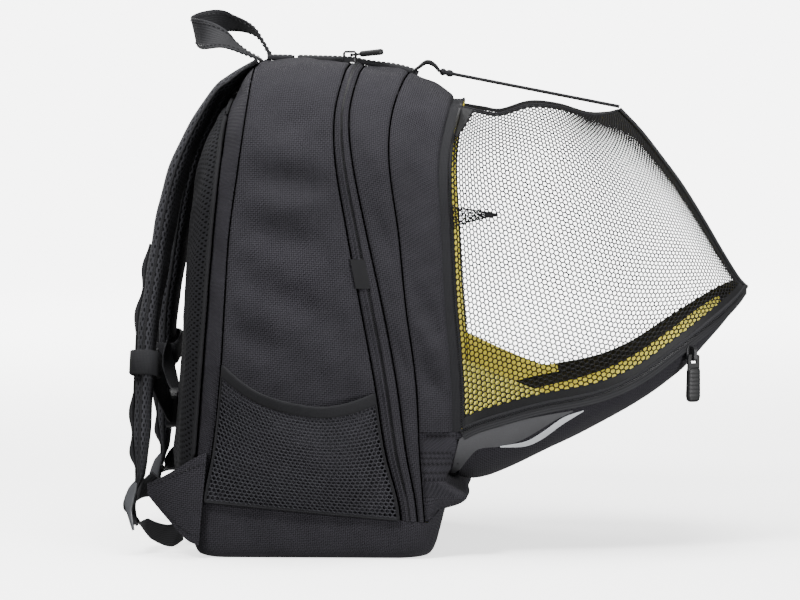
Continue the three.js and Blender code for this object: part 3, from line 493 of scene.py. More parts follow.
class Piece:
    """Collects the faces of one piece in millimetres and turns them into an object in metres."""

    def __init__(self, name: str) -> None:
        """Args: name: The object's name."""
        self.name = name
        self.points: list[Array] = []
        self.places: list[Array] = []
        self.faces: list[Array] = []
        self.caps: list[list[int]] = []
        self.count = 0

    def _take(self, points: Array, places: Array, faces: Array) -> int:
        """Adds points with their places on the cloth and their faces; returns where the points start."""
        start = self.count
        self.points.append(points.reshape(-1, 3))
        self.places.append(places.reshape(-1, 2))
        self.faces.append(faces.reshape(-1, 4) + start)
        self.count += len(self.points[-1])
        return start

    @staticmethod
    def _quads(rows: int, columns: int, wrap: bool) -> Array:
        """Faces between neighbours of a grid, the last column joined to the first if it wraps."""
        r, c = np.meshgrid(np.arange(rows - 1), np.arange(columns - (0 if wrap else 1)), indexing="ij")
        here, beside = r * columns + c, r * columns + (c + 1) % columns
        return np.stack([here, beside, beside + columns, here + columns], axis=-1)

    @staticmethod
    def _measure(grid: Array) -> Array:
        """Places on the cloth in metres: how far each point is along its row and along its column."""
        across, along = lengths(grid, 1), lengths(grid, 0)
        middle = [grid.shape[1] // 2]
        return np.stack(np.broadcast_arrays(across - across[:, middle], along[:, middle]), axis=-1) * MM

    def shell(self, outer: Array, thickness: float, out: Array | None = None) -> Piece:
        """A skin of cloth under a grid of points, closed along its border.

        Args:
            outer: The grid that shows.
            thickness: How far the other face lies against the normals.
            out: The normals, if not the grid's own.

        Returns:
            The piece.
        """
        inner = outer - (normals(outer) if out is None else out) * thickness
        rows, columns = outer.shape[:2]
        quads, places = self._quads(rows, columns, False), self._measure(outer)
        first = self._take(outer, places, quads)
        second = self._take(inner, places, quads[..., ::-1])
        index = np.arange(rows * columns).reshape(rows, columns)
        ring = np.concatenate([index[0], index[1:, -1], index[-1, -2::-1], index[-2:0:-1, 0]])
        after = np.roll(ring, -1)
        rim = np.stack([after + first, ring + first, ring + second, after + second], axis=-1)
        self.faces.append(rim)
        return self

    def loft(self, rings: Array, capped: bool = True, places: Array | None = None) -> Piece:
        """A skin through closed rings of points.

        Args:
            rings: The rings, each of the same number of points.
            capped: Whether each end has a cap.
            places: Each point's place on the cloth in metres, if not measured from the rings.

        Returns:
            The piece.
        """
        rows, columns = rings.shape[:2]
        spots = self._measure(rings) if places is None else places
        start = self._take(rings, spots, self._quads(rows, columns, True))
        if capped:
            self.caps.append([start + k for k in range(columns)][::-1])
            self.caps.append([start + (rows - 1) * columns + k for k in range(columns)])
        return self

    def strap(
        self, path: Array, across: Array, width: Array | float, thickness: Array | float,
        sides: int = 16, roundness: float = 0.35,
    ) -> Piece:
        """A band with rounded edges along a line of points.

        Args:
            path: The middle of the band.
            across: The direction of its width, at each point or all along.
            width: The whole width, likewise.
            thickness: The whole thickness, likewise.
            sides: Points around the section.
            roundness: 1 for an oval section, less for a flatter one.

        Returns:
            The piece.
        """
        across = np.broadcast_to(across, path.shape)
        out = unit(np.cross(across, tangents(path)))
        angle = np.linspace(0, 2 * math.pi, sides, endpoint=False) + math.pi / sides
        wide = signed_power(np.cos(angle), roundness)[None, :, None] * across[:, None]
        thick = signed_power(np.sin(angle), roundness)[None, :, None] * out[:, None]
        half = np.broadcast_to(np.asarray(width, float) / 2, len(path))[:, None, None]
        deep = np.broadcast_to(np.asarray(thickness, float) / 2, len(path))[:, None, None]
        return self.loft(path[:, None] + wide * half + thick * deep)

    def tubes(self, lines: Array, radius: Array | float, sides: int = 6, open_ended: bool = True) -> Piece:
        """Round strands along lines of points.

        Args:
            lines: Lines of the same number of points, as lines by points by three.
            radius: The strands' radius, for all or for each.
            sides: Points around each strand.
            open_ended: Whether the ends stay without caps.

        Returns:
            The piece.
        """
        lines = np.asarray(lines, float)
        along = unit(np.gradient(lines, axis=1))
        guide = np.where(np.abs(along[..., 1:2]) < 0.8, ACROSS, UP)
        first = unit(np.cross(along, guide))
        second = np.cross(along, first)
        angle = np.linspace(0, 2 * math.pi, sides, endpoint=False)
        ring = first[:, :, None] * np.cos(angle)[:, None] + second[:, :, None] * np.sin(angle)[:, None]
        count, steps = lines.shape[:2]
        size = np.broadcast_to(np.asarray(radius, float), count).reshape(-1, 1, 1)
        points = lines[:, :, None] + ring * size[..., None]
        quads = self._quads(steps, sides, True)
        faces = quads[None] + (np.arange(count) * steps * sides)[:, None, None, None]
        reach = np.linalg.norm(lines[:, -1] - lines[:, 0], axis=1)[:, None, None]
        gone = np.linspace(0, 1, steps)[None, :, None] * reach
        places = np.stack(np.broadcast_arrays(angle * size * MM, gone * MM), axis=-1)
        start = self._take(points, places, faces)
        if not open_ended:
            for k in range(count):
                base = start + k * steps * sides
                self.caps.append(list(range(base, base + sides))[::-1])
                self.caps.append(list(range(base + (steps - 1) * sides, base + steps * sides)))
        return self

    def cells(self, surface: Callable[[Array, Array], Array], wide: float, tall: float, pitch: float,
              radius: float, warp: Callable[[Array, Array], tuple[Array, Array]] | None = None,
              fine: Callable[[Array], Array] | None = None) -> Piece:
        """A knitted net of six-sided cells on a surface.

        Args:
            surface: Gives points at shares across and up.
            wide: The surface's usual width.
            tall: Its usual height.
            pitch: The distance between the middles of neighbours in a row.
            radius: The strands' radius.
            warp: Moves the cells' shares before they are cut off at the surface's edges.
            fine: Gives the share of the radius that strands have at shares up.

        Returns:
            The piece.
        """
        columns, rows = round(wide / pitch), round(tall / pitch / math.sqrt(0.75))
        spare = 14 if warp else 1
        i, j = np.meshgrid(np.arange(-spare, columns + spare), np.arange(-spare, rows + spare))
        middle = np.stack([(i + 0.5 * (j % 2)) / columns, j / rows], axis=-1).reshape(-1, 1, 1, 2)
        x, y = 0.5 / columns, 1 / 3 / rows
        edges = np.array([[[-x, y], [0, 2 * y]], [[0, 2 * y], [x, y]], [[x, y], [x, -y]]])
        ends = (middle + edges).reshape(-1, 2, 2)
        if warp:
            ends = np.stack(warp(ends[..., 0], ends[..., 1]), axis=-1)
        ends = np.clip(ends, 0, 1)
        apart = np.abs(ends[:, 0] - ends[:, 1]).sum(axis=1)
        ends = ends[(apart > 1e-6) & (apart < 12 * y)]
        size = radius * (fine(ends[..., 1].mean(axis=1)) if fine else 1.0)
        return self.tubes(surface(ends[..., 0], ends[..., 1]), size, 4)

    def blocks(self, middle: Array, along: Array, across: Array, size: Sequence[float]) -> Piece:
        """Small blocks with narrowed tops, such as zip teeth and stitches.

        Args:
            middle: The blocks' middles.
            along: The direction of each one's length.
            across: The direction of each one's width.
            size: Length, width and height.

        Returns:
            The piece.
        """
        up = unit(np.cross(along, across))
        corner = np.array([[-1, -1, -1], [1, -1, -1], [1, 1, -1], [-1, 1, -1],
                           [-0.6, -0.7, 1], [0.6, -0.7, 1], [0.6, 0.7, 1], [-0.6, 0.7, 1]])
        corner = corner * np.array(size) / 2
        axes = np.stack([along, across, up], axis=1)
        points = middle[:, None] + np.einsum("kc,ncd->nkd", corner, axes)
        faces = np.array([[0, 3, 2, 1], [4, 5, 6, 7], [0, 1, 5, 4], [1, 2, 6, 5], [2, 3, 7, 6], [3, 0, 4, 7]])
        places = np.broadcast_to(corner[None, :, :2] * MM, (*points.shape[:2], 2))
        self._take(points, places, faces[None] + (np.arange(len(middle)) * 8)[:, None, None])
        return self

    @staticmethod
    def _spaced(line: Array, pitch: float, *ways: Array) -> tuple[Path, Array, list[Array]]:
        """Spaces things evenly along a line of points.

        Args:
            line: The points.
            pitch: The distance between neighbours.
            ways: Directions, each for every point or all along.

        Returns:
            The line's path, the shares of its length and the directions there.
        """
        path, order = Path(line), np.linspace(0, 1, len(line))
        share = (np.arange(int(path.length / pitch)) + 0.5) * pitch / path.length
        return path, share, [unit(between(share, order, np.broadcast_to(w, line.shape))) for w in ways]

    def stitches(self, line: Array, out: Array, pitch: float = 4.2) -> Piece:
        """A row of short stitches that lie on the cloth along a line of points."""
        path, share, (up,) = self._spaced(line, pitch, out)
        along = unit(path.by_length(share + 0.001) - path.by_length(share - 0.001))
        across = unit(np.cross(up, along))
        return self.blocks(path.by_length(share) + up * 0.25, along, across, (pitch * 0.68, 0.8, 0.7))

    def teeth(self, line: Array, out: Array, across: Array, pitch: float, reach: float) -> Piece:
        """Both rows of a closed zip's teeth along a line of points."""
        path, share, (up, over) = self._spaced(line, pitch, out, across)
        for row, shift in ((-1, 0.0), (1, 0.5)):
            moved = np.clip(share + shift * pitch / path.length, 0, 1)
            middle = path.by_length(moved) + over * row * reach * 0.55
            self.blocks(middle, unit(np.cross(over, up)), over, (pitch * 0.55, reach * 1.5, 1.6))
        return self

    def make(
        self, finish: Finish, slot: str, replaces: Sequence[str] = (), body: str = "bag", smooth: float = 50.0
    ) -> Object:
        """Makes the object, dresses it and lets it ride on a body.

        Args:
            finish: What it is made of.
            slot: The record's material slot that it belongs to; it is not used.
            replaces: Nodes that it stands for.
            body: The body that carries it.
            smooth: The angle up to which its faces blend, in degrees.

        Returns:
            The object.
        """
        mesh = bpy.data.meshes.new(self.name)
        points = np.concatenate(self.points) * MM
        faces = [f for block in self.faces for f in block.reshape(-1, 4).tolist()] + self.caps
        mesh.from_pydata(points.tolist(), [], faces)
        mesh.validate()
        places = np.concatenate(self.places)
        corner = np.zeros(len(mesh.loops), np.int32)
        mesh.loops.foreach_get("vertex_index", corner)
        layer = mesh.uv_layers.new(name="cloth")
        layer.data.foreach_set("uv", places[corner].astype(np.float32).ravel())
        form = bmesh.new()
        form.from_mesh(mesh)
        bmesh.ops.recalc_face_normals(form, faces=form.faces)
        form.to_mesh(mesh)
        form.free()
        mesh.shade_smooth()
        mesh.set_sharp_from_angle(angle=math.radians(smooth))
        made = bpy.data.objects.new(self.name, mesh)
        bpy.context.scene.collection.objects.link(made)
        mesh.materials.append(finish.material())
        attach(made, body)
        if replaces:
            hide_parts(*replaces)
        LOG.info("%s: %d faces, %s", self.name, len(mesh.polygons), finish.name)
        return made


@dataclass(frozen=True)
class Padding:
    """Foam under mesh: swells a padded piece's skin by cloth simulation, held where it is sewn."""

    most_mm: float
    voxel_mm: float = 5.0
    pressure: float = 4.0
    frames: int = 18
    neighbours: int = 6
    nearest_mm: float = 0.5

    @staticmethod
    def points(mesh: Mesh) -> Array:
        """A mesh's points in metres."""
        return np.array([vertex.co for vertex in mesh.vertices])

    def fill(self, piece: Object, sewn: Callable[[Array], Array]) -> None:
        """Swells a piece that was made slightly thin, and keeps its own faces.

        Args:
            piece: The padded piece.
            sewn: Tells which points, in millimetres, are sewn down and stay.
        """
        scene = bpy.context.scene
        copy = piece.data.copy()
        skin = bpy.data.objects.new("padding_skin", copy)
        scene.collection.objects.link(skin)
        even = skin.modifiers.new("even_faces", "REMESH")
        even.mode, even.voxel_size = "VOXEL", self.voxel_mm * MM
        bpy.context.view_layer.update()
        graph = bpy.context.evaluated_depsgraph_get()
        skin.data = bpy.data.meshes.new_from_object(skin.evaluated_get(graph))
        bpy.data.meshes.remove(copy)
        skin.modifiers.clear()
        start = self.points(skin.data)
        skin.vertex_groups.new(name="sewn").add(np.flatnonzero(sewn(start / MM)).tolist(), 1.0, "REPLACE")
        settings = skin.modifiers.new("swell", "CLOTH").settings
        settings.vertex_group_mass = "sewn"
        settings.use_pressure = True
        settings.uniform_pressure_force = self.pressure
        settings.effector_weights.gravity = 0.0
        for frame in range(1, self.frames + 1):
            scene.frame_set(frame)
        graph = bpy.context.evaluated_depsgraph_get()
        moved = self.points(skin.evaluated_get(graph).data) - start
        far, most = np.linalg.norm(moved, axis=1, keepdims=True), self.most_mm * MM
        self.carry(piece.data, start, moved * most * np.tanh(far / most) / np.maximum(far, 1e-9))
        LOG.info("%s: swelled by up to %.1f mm, kept under %.1f", piece.name, far.max() / MM, self.most_mm)
        scene.frame_set(1)
        even_mesh = skin.data
        bpy.data.objects.remove(skin)
        bpy.data.meshes.remove(even_mesh)

    def carry(self, mesh: Mesh, start: Array, moved: Array) -> None:
        """Moves a mesh's points as the nearest points of the skin have moved.

        Args:
            mesh: The padded piece's mesh.
            start: The skin's points before it swelled.
            moved: How far each has moved.
        """
        tree = KDTree(len(start))
        for k, place in enumerate(start):
            tree.insert(place, k)
        tree.balance()
        for vertex in mesh.vertices:
            found = tree.find_n(vertex.co, self.neighbours)
            share = np.array([1 / (gap + self.nearest_mm * MM) for _, _, gap in found])
            if found[0][2] < 2 * self.voxel_mm * MM:
                vertex.co += Vector(share @ moved[[k for _, k, _ in found]] / share.sum())
        mesh.update()


@dataclass(frozen=True)
class Crease:
    """A soft fold in side cloth: its line seen from the side, its depth and its breadth."""

    x0: float
    z0: float
    x1: float
    z1: float
    depth: float
    breadth: float

    def depth_at(self, x: Array, z: Array) -> Array:
        """How far the cloth is moved out, at places seen from the side."""
        dx, dz = self.x1 - self.x0, self.z1 - self.z0
        t = np.clip(((x - self.x0) * dx + (z - self.z0) * dz) / (dx * dx + dz * dz), 0, 1)
        away = np.hypot(x - self.x0 - t * dx, z - self.z0 - t * dz)
        fade = 0.35 + 0.65 * np.sin(math.pi * t)
        return self.depth * fade * np.exp(-((away / self.breadth) ** 2))


@dataclass
class BagForm:
    """The bag's seams and rims, as the solids have them."""

    seams: Table = Table(
        ("z", "back", "rear", "zip_rear", "zip_front", "bay", "front", "half"),
        (
            (0, -99, -92, 76, 90, 96, 112, 128),
            (45, -98, -90, 73, 87, 93, 114, 134),
            (90, -95, -81, 62, 79, 90, 117, 140),
            (150, -90, -74, 53, 71, 87, 116, 145),
            (210, -85, -70, 42, 60, 79, 111, 147),
            (270, -80, -66, 31, 47, 73, 108, 146),
            (330, -74, -58, 21, 35, 65, 106, 143),
            (370, -70, -53, 20, 32, 67, 113, 141),
            (410, -62, -49, 28, 40, 80, 124, 140),
        ),
    )
    crest: dict[Seam, float] = field(default_factory=lambda: dict(zip(Seam, (380, 412, 410, 408, 402, 381))))
    inset: dict[Seam, float] = field(default_factory=lambda: dict(zip(Seam, (10, 0, 0, 0, 1, 6))))
    rise: float = 95.0
    run: float = 75.0
    crown: float = 4.0
    hinge_z: float = 107.0
    side_steps: int = 46
    shoulder_steps: int = 22
    crown_steps: int = 8

    def x(self, seam: Seam, z: Array | float) -> Array:
        """A seam's X at a height."""
        return self.seams.read(seam.value, z)

    def half(self, z: Array | float) -> Array:
        """The bag's half width at a height."""
        return self.seams.read("half", z)

    def rim(self, x: Array | float) -> Array:
        """The height of the base tray's rim."""
        side = mix(48.0, 31.0, np.clip((np.asarray(x, float) + 90) / 188, 0, 1))
        return mix(side, 42.0, np.clip((np.asarray(x, float) - 98) / 8, 0, 1))

    def foot(self, seam: Seam) -> float:
        """The height at which a seam meets the tray."""
        return float(self.rim(self.x(seam, 40.0))) + 0.2

    def arch_half(self, seam: Seam, z: Array) -> Array:
        """The half width of a seam's arch at a height."""
        spring = self.crest[seam] - self.rise
        over = np.clip((z - spring) / (self.rise - self.crown), 0, 1)
        return self.half(np.minimum(z, spring)) - self.inset[seam] - self.run * (1 - np.sqrt(1 - over * over))

    def arch(self, seam: Seam, foot: float) -> Array:
        """Points of a seam's arch.

        Args:
            seam: Which seam.
            foot: The height of its feet.

        Returns:
            Points from the left foot over the crest to the right foot.
        """
        spring = self.crest[seam] - self.rise
        side_z = np.linspace(foot, spring, self.side_steps, endpoint=False)
        angle = np.linspace(0, math.pi / 2, self.shoulder_steps, endpoint=False)
        start = float(self.arch_half(seam, np.array(spring)))
        y = [self.arch_half(seam, side_z), start - self.run * (1 - np.cos(angle))]
        z = [side_z, spring + (self.rise - self.crown) * np.sin(angle)]
        share = np.linspace(1, 0, self.crown_steps)
        y.append((start - self.run) * share)
        z.append(self.crest[seam] - self.crown * share * share)
        half, high = np.concatenate(y), np.concatenate(z)
        left = np.stack([self.x(seam, high), -half, high], axis=-1)
        return np.concatenate([left, left[-2::-1] * MIRROR])

    def band(self, first: Seam, second: Seam, spans: int, feet: tuple[float, float] | None = None) -> Array:
        """A grid of points between two seams, along the arches and from the first to the second."""
        low = feet or (self.foot(first), self.foot(second))
        a, b = self.arch(first, low[0]), self.arch(second, low[1])
        share = (1 - np.cos(np.linspace(0, math.pi, spans + 1))) / 2
        return mix(a[:, None], b[:, None], share[None, :, None])

    def crest_z(self, x: Array) -> Array:
        """The height of the bag's top along its middle."""
        line = [Seam.REAR, Seam.ZIP_REAR, Seam.ZIP_FRONT, Seam.BAY, Seam.FRONT]
        rows = tuple((float(self.x(s, self.crest[s])), self.crest[s]) for s in line)
        return Table(("x", "z"), rows).read("z", x)


@dataclass
class Body:
    """The bag's side and top cloth, its black seam cords of painted shade, main zip and front edge."""

    form: BagForm
    cloth: float = 2.0
    groove: float = 1.4
    groove_width: float = 1.5
    flat_edge: float = 9.0
    right_drop: float = 9.0
    seam_cord: float = 0.55
    tape_width: float = 8.2
    lining_drop: float = 7.0
    lip: tuple[float, ...] = (2.5, 5.0, 7.4)
    creases: tuple[Crease, ...] = (
        Crease(-52, 318, 12, 312, -6.0, 10),
        Crease(-58, 276, 8, 262, -5.0, 11),
        Crease(-40, 292, 20, 296, 3.2, 10),
        Crease(-50, 232, 10, 205, -4.0, 12),
        Crease(-30, 352, 6, 372, -4.0, 11),
        Crease(-44, 372, -20, 398, 3.0, 8),
        Crease(-62, 190, -30, 176, -4.0, 10),
        Crease(50, 300, 66, 250, -2.4, 6),
        Crease(52, 340, 62, 310, 1.8, 6),
        Crease(66, 190, 84, 150, -2.2, 6),
        Crease(76, 120, 88, 92, 2.0, 6),
        Crease(80, 240, 104, 190, -3.0, 7),
        Crease(82, 205, 110, 165, 2.4, 7),
        Crease(86, 168, 114, 130, -2.8, 7),
        Crease(72, 330, 100, 300, -2.6, 8),
        Crease(76, 372, 104, 360, 2.0, 7),
    )

    def folded(self, grid: Array, puff: float) -> Array:
        """Cloth between two seams, drawn in at both, puffed, creased and uneven.

        Args:
            grid: The flat band of points.
            puff: How far its middle stands out.

        Returns:
            The grid moved along its normals.
        """
        out, gone = normals(grid), lengths(grid, 1)
        from_seam = np.minimum(gone, gone[:, -1:] - gone)
        x, y, z = np.moveaxis(grid, 2, 0)
        swell = np.clip(np.sin(math.pi * gone / gone[:, -1:]), 0, 1) ** 0.6
        moved = puff * swell - self.groove * np.exp(-((from_seam / self.groove_width) ** 2))
        edge = np.clip(from_seam / self.flat_edge, 0, 1)
        side = np.clip(np.abs(out[..., 1]) * 1.3 - 0.3, 0, 1) * edge
        lower = np.where(y > 0, self.right_drop, 0.0)
        for crease in self.creases:
            moved = moved + side * crease.depth_at(x, z + lower)
        rough = np.sin(x * 0.11 + z * 0.047 + y * 0.02) * np.sin(z * 0.083 - x * 0.031 + 1.3)
        fine = np.sin(x * 0.21 - z * 0.13 + 0.6) * np.sin(z * 0.19 + x * 0.09)
        return grid + out * (moved + edge * (1.1 * rough + 0.5 * fine))[..., None]

    def build(self) -> None:
        """Makes the bands of cloth, the main zip and the bay's edge."""
        hinge = self.form.hinge_z + 0.4
        bands = (
            ("rear_gusset", Seam.BACK, Seam.REAR, 16, 1.2, None),
            ("main_panel", Seam.REAR, Seam.ZIP_REAR, 44, 2.6, None),
            ("front_gusset", Seam.ZIP_FRONT, Seam.BAY, 24, 1.8, None),
            ("bay_gusset", Seam.BAY, Seam.FRONT, 24, 2.0, (hinge, hinge)),
        )
        for name, first, second, spans, puff, feet in bands:
            grid = self.folded(self.form.band(first, second, spans, feet), puff)
            Piece(f"{name}_cloth").shell(grid, self.cloth).make(FINISH.polyester, "polyester", (name,))
        # Black cords sunk in the seam grooves: painted shade that darkens every seam line.
        seams = Piece("seam_cord")
        for seam in list(Seam)[:5]:
            line = self.form.arch(seam, self.form.foot(seam))
            outward = unit(line * ACROSS + UP * np.clip(line[:, 2:] - 300, 0, 90))
            seams.tubes((line - outward * 0.5)[None], self.seam_cord, 8)
        seams.make(FINISH.seam, "polyester")
        self.build_zip()
        self.build_front_edge(hinge)

    def build_zip(self) -> None:
        """Sets the main zip's chain between the lips of its two tapes."""
        grid = self.folded(self.form.band(Seam.ZIP_REAR, Seam.ZIP_FRONT, 48), 0.6)
        share = ((1 - np.cos(np.linspace(0, math.pi, 49))) / 2)[None]
        lips = sum(np.exp(-(((share - at) / 0.07) ** 2)) for at in (0.36, 0.64))
        slit = np.exp(-(((share - 0.5) / 0.06) ** 2)) * np.clip((409 - grid[..., 2]) / 5, 0, 1)
        grid = grid + normals(grid) * (0.9 * lips - 1.2 * slit)[..., None]
        Piece("zip_band_tape").shell(grid, self.cloth).make(FINISH.polyester, "polyester", ("zip_band",))
        line, out = grid[4:-4, 24], normals(grid)[4:-4, 24]
        across = unit(np.gradient(grid, axis=1)[4:-4, 24])
        chain = Piece("main_zip_teeth").teeth(line + out * 0.5, out, across, 1.8, 0.9)
        chain.make(FINISH.teeth, "polyester")

    def build_front_edge(self, hinge: float) -> None:
        """Sews the bay's open zip and a thin yellow edge round the bag's front.

        Args:
            hinge: The height of the edge's feet.
        """
        edge = self.form.arch(Seam.FRONT, hinge)
        half = self.form.arch_half(Seam.FRONT, edge[:, 2])
        top = np.clip((edge[:, 2] - self.form.crest[Seam.FRONT] + self.form.rise) / self.form.rise, 0, 1)
        back = edge.copy()
        back[:, 1] *= 1 - 1.5 / half
        back[:, 2] -= 1.5 * top
        back[:, 0] -= 0.8
        grid = back[:, None] + FORWARD * np.linspace(0, self.tape_width, 6)[None, :, None]
        Piece("bay_edge_tape").shell(grid, 1.2).make(FINISH.elastic, "webbing", ("bay_zip_tape",))
        out = normals(grid)[:, 3]
        chain = Piece("bay_zip_teeth").teeth(grid[:, -1] + FORWARD * 0.6, out, FORWARD, 2.0, 0.8)
        chain.make(FINISH.teeth, "webbing")
        inner = grid[:, -1] - out * 2.2 + FORWARD * 0.2
        Piece("bay_lining_edge").tubes(inner[None, 2:-2], 0.9, 6).make(FINISH.lining, "lining")
        self.build_bay_inside(hinge - self.lining_drop)

    def build_bay_inside(self, foot: float) -> None:
        """Lines the bay's gusset in yellow, over a strip of black cloth at each foot.

        Args:
            foot: The height of the lining's feet.
        """
        band = self.form.band(Seam.BAY, Seam.FRONT, 12, (foot, foot))
        out = normals(band)
        for name, depth, rows, finish, slot in (
                ("bay_foot_cloth_left", 0.8, slice(0, 6), FINISH.polyester, "polyester"),
                ("bay_foot_cloth_right", 0.8, slice(-6, None), FINISH.polyester, "polyester"),
                ("bay_gusset_lining", 2.2, slice(1, -1), FINISH.lining, "lining")):
            cloth = (band - out * (self.cloth + depth))[rows, 1:]
            lip = cloth[:, -1:] + FORWARD * np.array(self.lip)[None, :, None]
            Piece(name).shell(np.concatenate([cloth, lip], axis=1), 0.8).make(finish, slot)


@dataclass
class BaseTray:
    """The stiff fabric tray that the bag stands on."""

    form: BagForm
    levels: Table = Table(
        ("share", "back", "front", "half"),
        (
            (0, -88, 92, 119), (0.03, -92.5, 95.4, 122.4), (0.08, -96, 98, 125), (0.3, -99, 103, 129),
            (1, -98, 111, 133),
        ),
    )
    wall: float = 2.5
    back_corner: float = 16.0
    front_corner: float = 22.0
    around: int = 140

    def ring(self, share: float, wall: float) -> Array:
        """The tray's outline at a share of its rim's height, moved in by a wall."""
        back, front, half = (float(self.levels.read(n, share)) for n in ("back", "front", "half"))
        points: list[tuple[float, float]] = []
        for k, (sx, sy) in enumerate(((1, 1), (-1, 1), (-1, -1), (1, -1))):
            end, corner = (front, self.front_corner) if sx > 0 else (back, self.back_corner)
            end, radius = end - sx * wall, corner - wall
            for angle in (k + np.linspace(0, 1, 9)) * math.pi / 2:
                points.append((end - radius * (sx - math.cos(angle)),
                               sy * (half - wall - radius) + radius * math.sin(angle)))
        ring = np.array(points + points[:1])
        gone = lengths(ring)
        x, y = between(np.linspace(0, gone[-1], self.around, endpoint=False), gone, ring).T
        return np.stack([x, y, np.maximum(share * self.form.rim(x), wall)], axis=-1)

    def build(self) -> None:
        """Makes the tray of soft cloth."""
        shares = (0, 0.02, 0.05, 0.1, 0.2, 0.35, 0.5, 0.65, 0.8, 0.92, 1)
        outside, inside = ([self.ring(share, wall) for share in shares] for wall in (0.0, self.wall))
        rings = np.array(outside + inside[::-1])
        turn, level = np.linspace(0, 2 * math.pi, self.around)[None], np.arange(len(rings))[:, None]
        bulge = 0.7 * np.sin(9 * turn + 1) * np.sin(5 * turn) + 0.5 * np.sin(23 * turn + level * 0.5)
        lift = np.interp(level, (0, 2, 8, 11), (0, 0.4, 1, 0))
        rings[..., 1] += np.sign(rings[..., 1]) * bulge * lift
        tray = Piece("base_tray_cloth").loft(rings)
        tray.make(FINISH.polyester, "polyester", ("base_tray",), smooth=40)


@dataclass
class BackPanel:
    """The padded air-mesh panel that lies on the wearer's back."""

    form: BagForm
    bottom: float = 50.0
    ease: float = 50.0
    reach_y: float = 130.0
    reach_z: float = 165.0
    slim: float = 0.9
    sewn_depth: float = 7.0
    rings: Table = Table(
        ("order", "inset", "depth"),
        ((0, 60, 0), (1, 0, 0), (2, 0, 6), (3, 2, 14), (4, 9, 20), (5, 20, 22), (6, 60, 20.5), (7, 120, 20)),
    )

    def build(self) -> None:
        """Makes the panel as a padded form."""
        crest = self.form.crest[Seam.BACK]
        outline = self.form.arch(Seam.BACK, self.bottom)
        x, y, z = outline[0]
        bottom = np.stack(np.broadcast_arrays(x, mix(-y, y, np.linspace(0, 1, 32)[1:-1]), z), axis=-1)
        loop = np.concatenate([outline, bottom])
        middle = (self.bottom + crest) / 2
        orders = np.concatenate([[0], np.linspace(1, 5, 21), np.linspace(5.004, 7, 19)])
        rings = []
        for order in orders:
            inset, depth = (float(self.rings.read(n, order)) for n in ("inset", "depth"))
            z = middle + (loop[:, 2] - middle) * (1 - inset / self.reach_z)
            over = np.clip((z - crest + self.ease) / self.ease, 0, 0.97)
            x = self.form.x(Seam.BACK, z) - 0.2 - self.slim * depth * np.sqrt(1 - over * over)
            rings.append(np.stack([x, loop[:, 1] * (1 - inset / self.reach_y), z], axis=-1))
        form = np.array(rings)
        side = np.stack(np.broadcast_arrays(lengths(loop), lengths(form)), axis=-1)
        places = np.where((orders <= 5)[:, None, None], side, form[..., 1:]) * MM
        padding = Piece("back_panel_padding").loft(form, places=places)
        panel = padding.make(FINISH.air_mesh, "air_mesh", ("back_panel",))
        Padding(most_mm=5.0).fill(
            panel, lambda p: self.form.x(Seam.BACK, p[:, 2]) - p[:, 0] < self.sewn_depth)
        line = np.concatenate([form[3], form[3][:1]])
        Piece("back_panel_binding").tubes(line[None], 1.6, 8).make(FINISH.elastic, "webbing")


@dataclass
class Bay:
    """The bay's yellow back wall and the pleated cloth under its shelf."""

    form: BagForm
    pleat: Table = Table(
        ("order", "z", "front"),
        ((0, 43.5, 113), (1, 46.5, 124), (2, 50.5, 129.5), (3, 54.5, 127.5), (4, 59, 120), (5, 66, 112),
         (6, 76, 114.5), (7, 91, 119.5), (8, 106.6, 122.6)),
    )
    corner: float = 10.0
    clear: float = 2.8

    def build(self) -> None:
        """Makes both walls."""
        z = np.concatenate([np.linspace(14, 385, 60), [391, 395]])
        low = np.where(z < 42, 10.0, np.where(z < 106, 7.0, 0.0))
        half = self.form.arch_half(Seam.BAY, np.minimum(z + self.clear, 401.9)) - self.clear - 1 - low
        half = np.maximum(half, 30.0)[:, None]
        share, up = np.linspace(-1, 1, 41)[None], z[:, None]
        sag = 4.0 * np.sin(np.linspace(0, math.pi, len(z)))[:, None] * (1 - share ** 2)
        x = self.form.x(Seam.BAY, up) - 1.6 + sag * (0.6 + 0.4 * np.sin(up * 0.05 + share * 3))
        grid = np.stack(np.broadcast_arrays(x, half * share, up), axis=-1)
        Piece("bay_lining_wall").shell(grid, 2.0).make(FINISH.lining, "lining", ("front_wall",))
        self.build_pleat()

    def build_pleat(self) -> None:
        """Folds the cloth under the shelf's hinge."""
        order = np.linspace(0, 8, 49)
        heights, fronts = self.pleat.read("z", order), self.pleat.read("front", order)
        halves = self.form.half(heights) - self.form.inset[Seam.FRONT] + 1
        starts = self.form.x(Seam.BAY, heights) - 4.0
        angles = np.linspace(0, math.pi / 2, 8)
        r = self.corner
        rows = []
        for height, front, half, start in zip(heights, fronts, halves, starts):
            left = [(x, -half) for x in np.linspace(start, front - r, 9)[:-1]]
            left += [(front - r * (1 - math.sin(a)), -half + r * (1 - math.cos(a))) for a in angles]
            left += [(front, y) for y in np.linspace(-half + r, 0, 14)[1:]]
            rows.append([(x, y, height) for x, y in left + [(x, -y) for x, y in left[-2::-1]]])
        grid = np.array(rows)
        x, y, z = np.moveaxis(grid, 2, 0)
        ripple = np.sin(y * 0.07 + z * 0.2) * np.sin(z * 0.11) * 1.2
        grid[..., 0] += np.clip((x - 100) / 20, 0, 1) * ripple
        lowest = np.clip(1 - (z - 43.5) / 9, 0, 1)
        grid[..., 2] -= lowest * np.maximum(43.5 - self.form.rim(grid[..., 0]) - 0.6, 0)
        under = Shelf().section_z(y) - 0.5
        grid[..., 2] = np.where(x > 105, np.minimum(grid[..., 2], under), grid[..., 2])
        Piece("lower_gusset_cloth").shell(grid, 2.0).make(FINISH.polyester, "polyester", ("lower_gusset",))


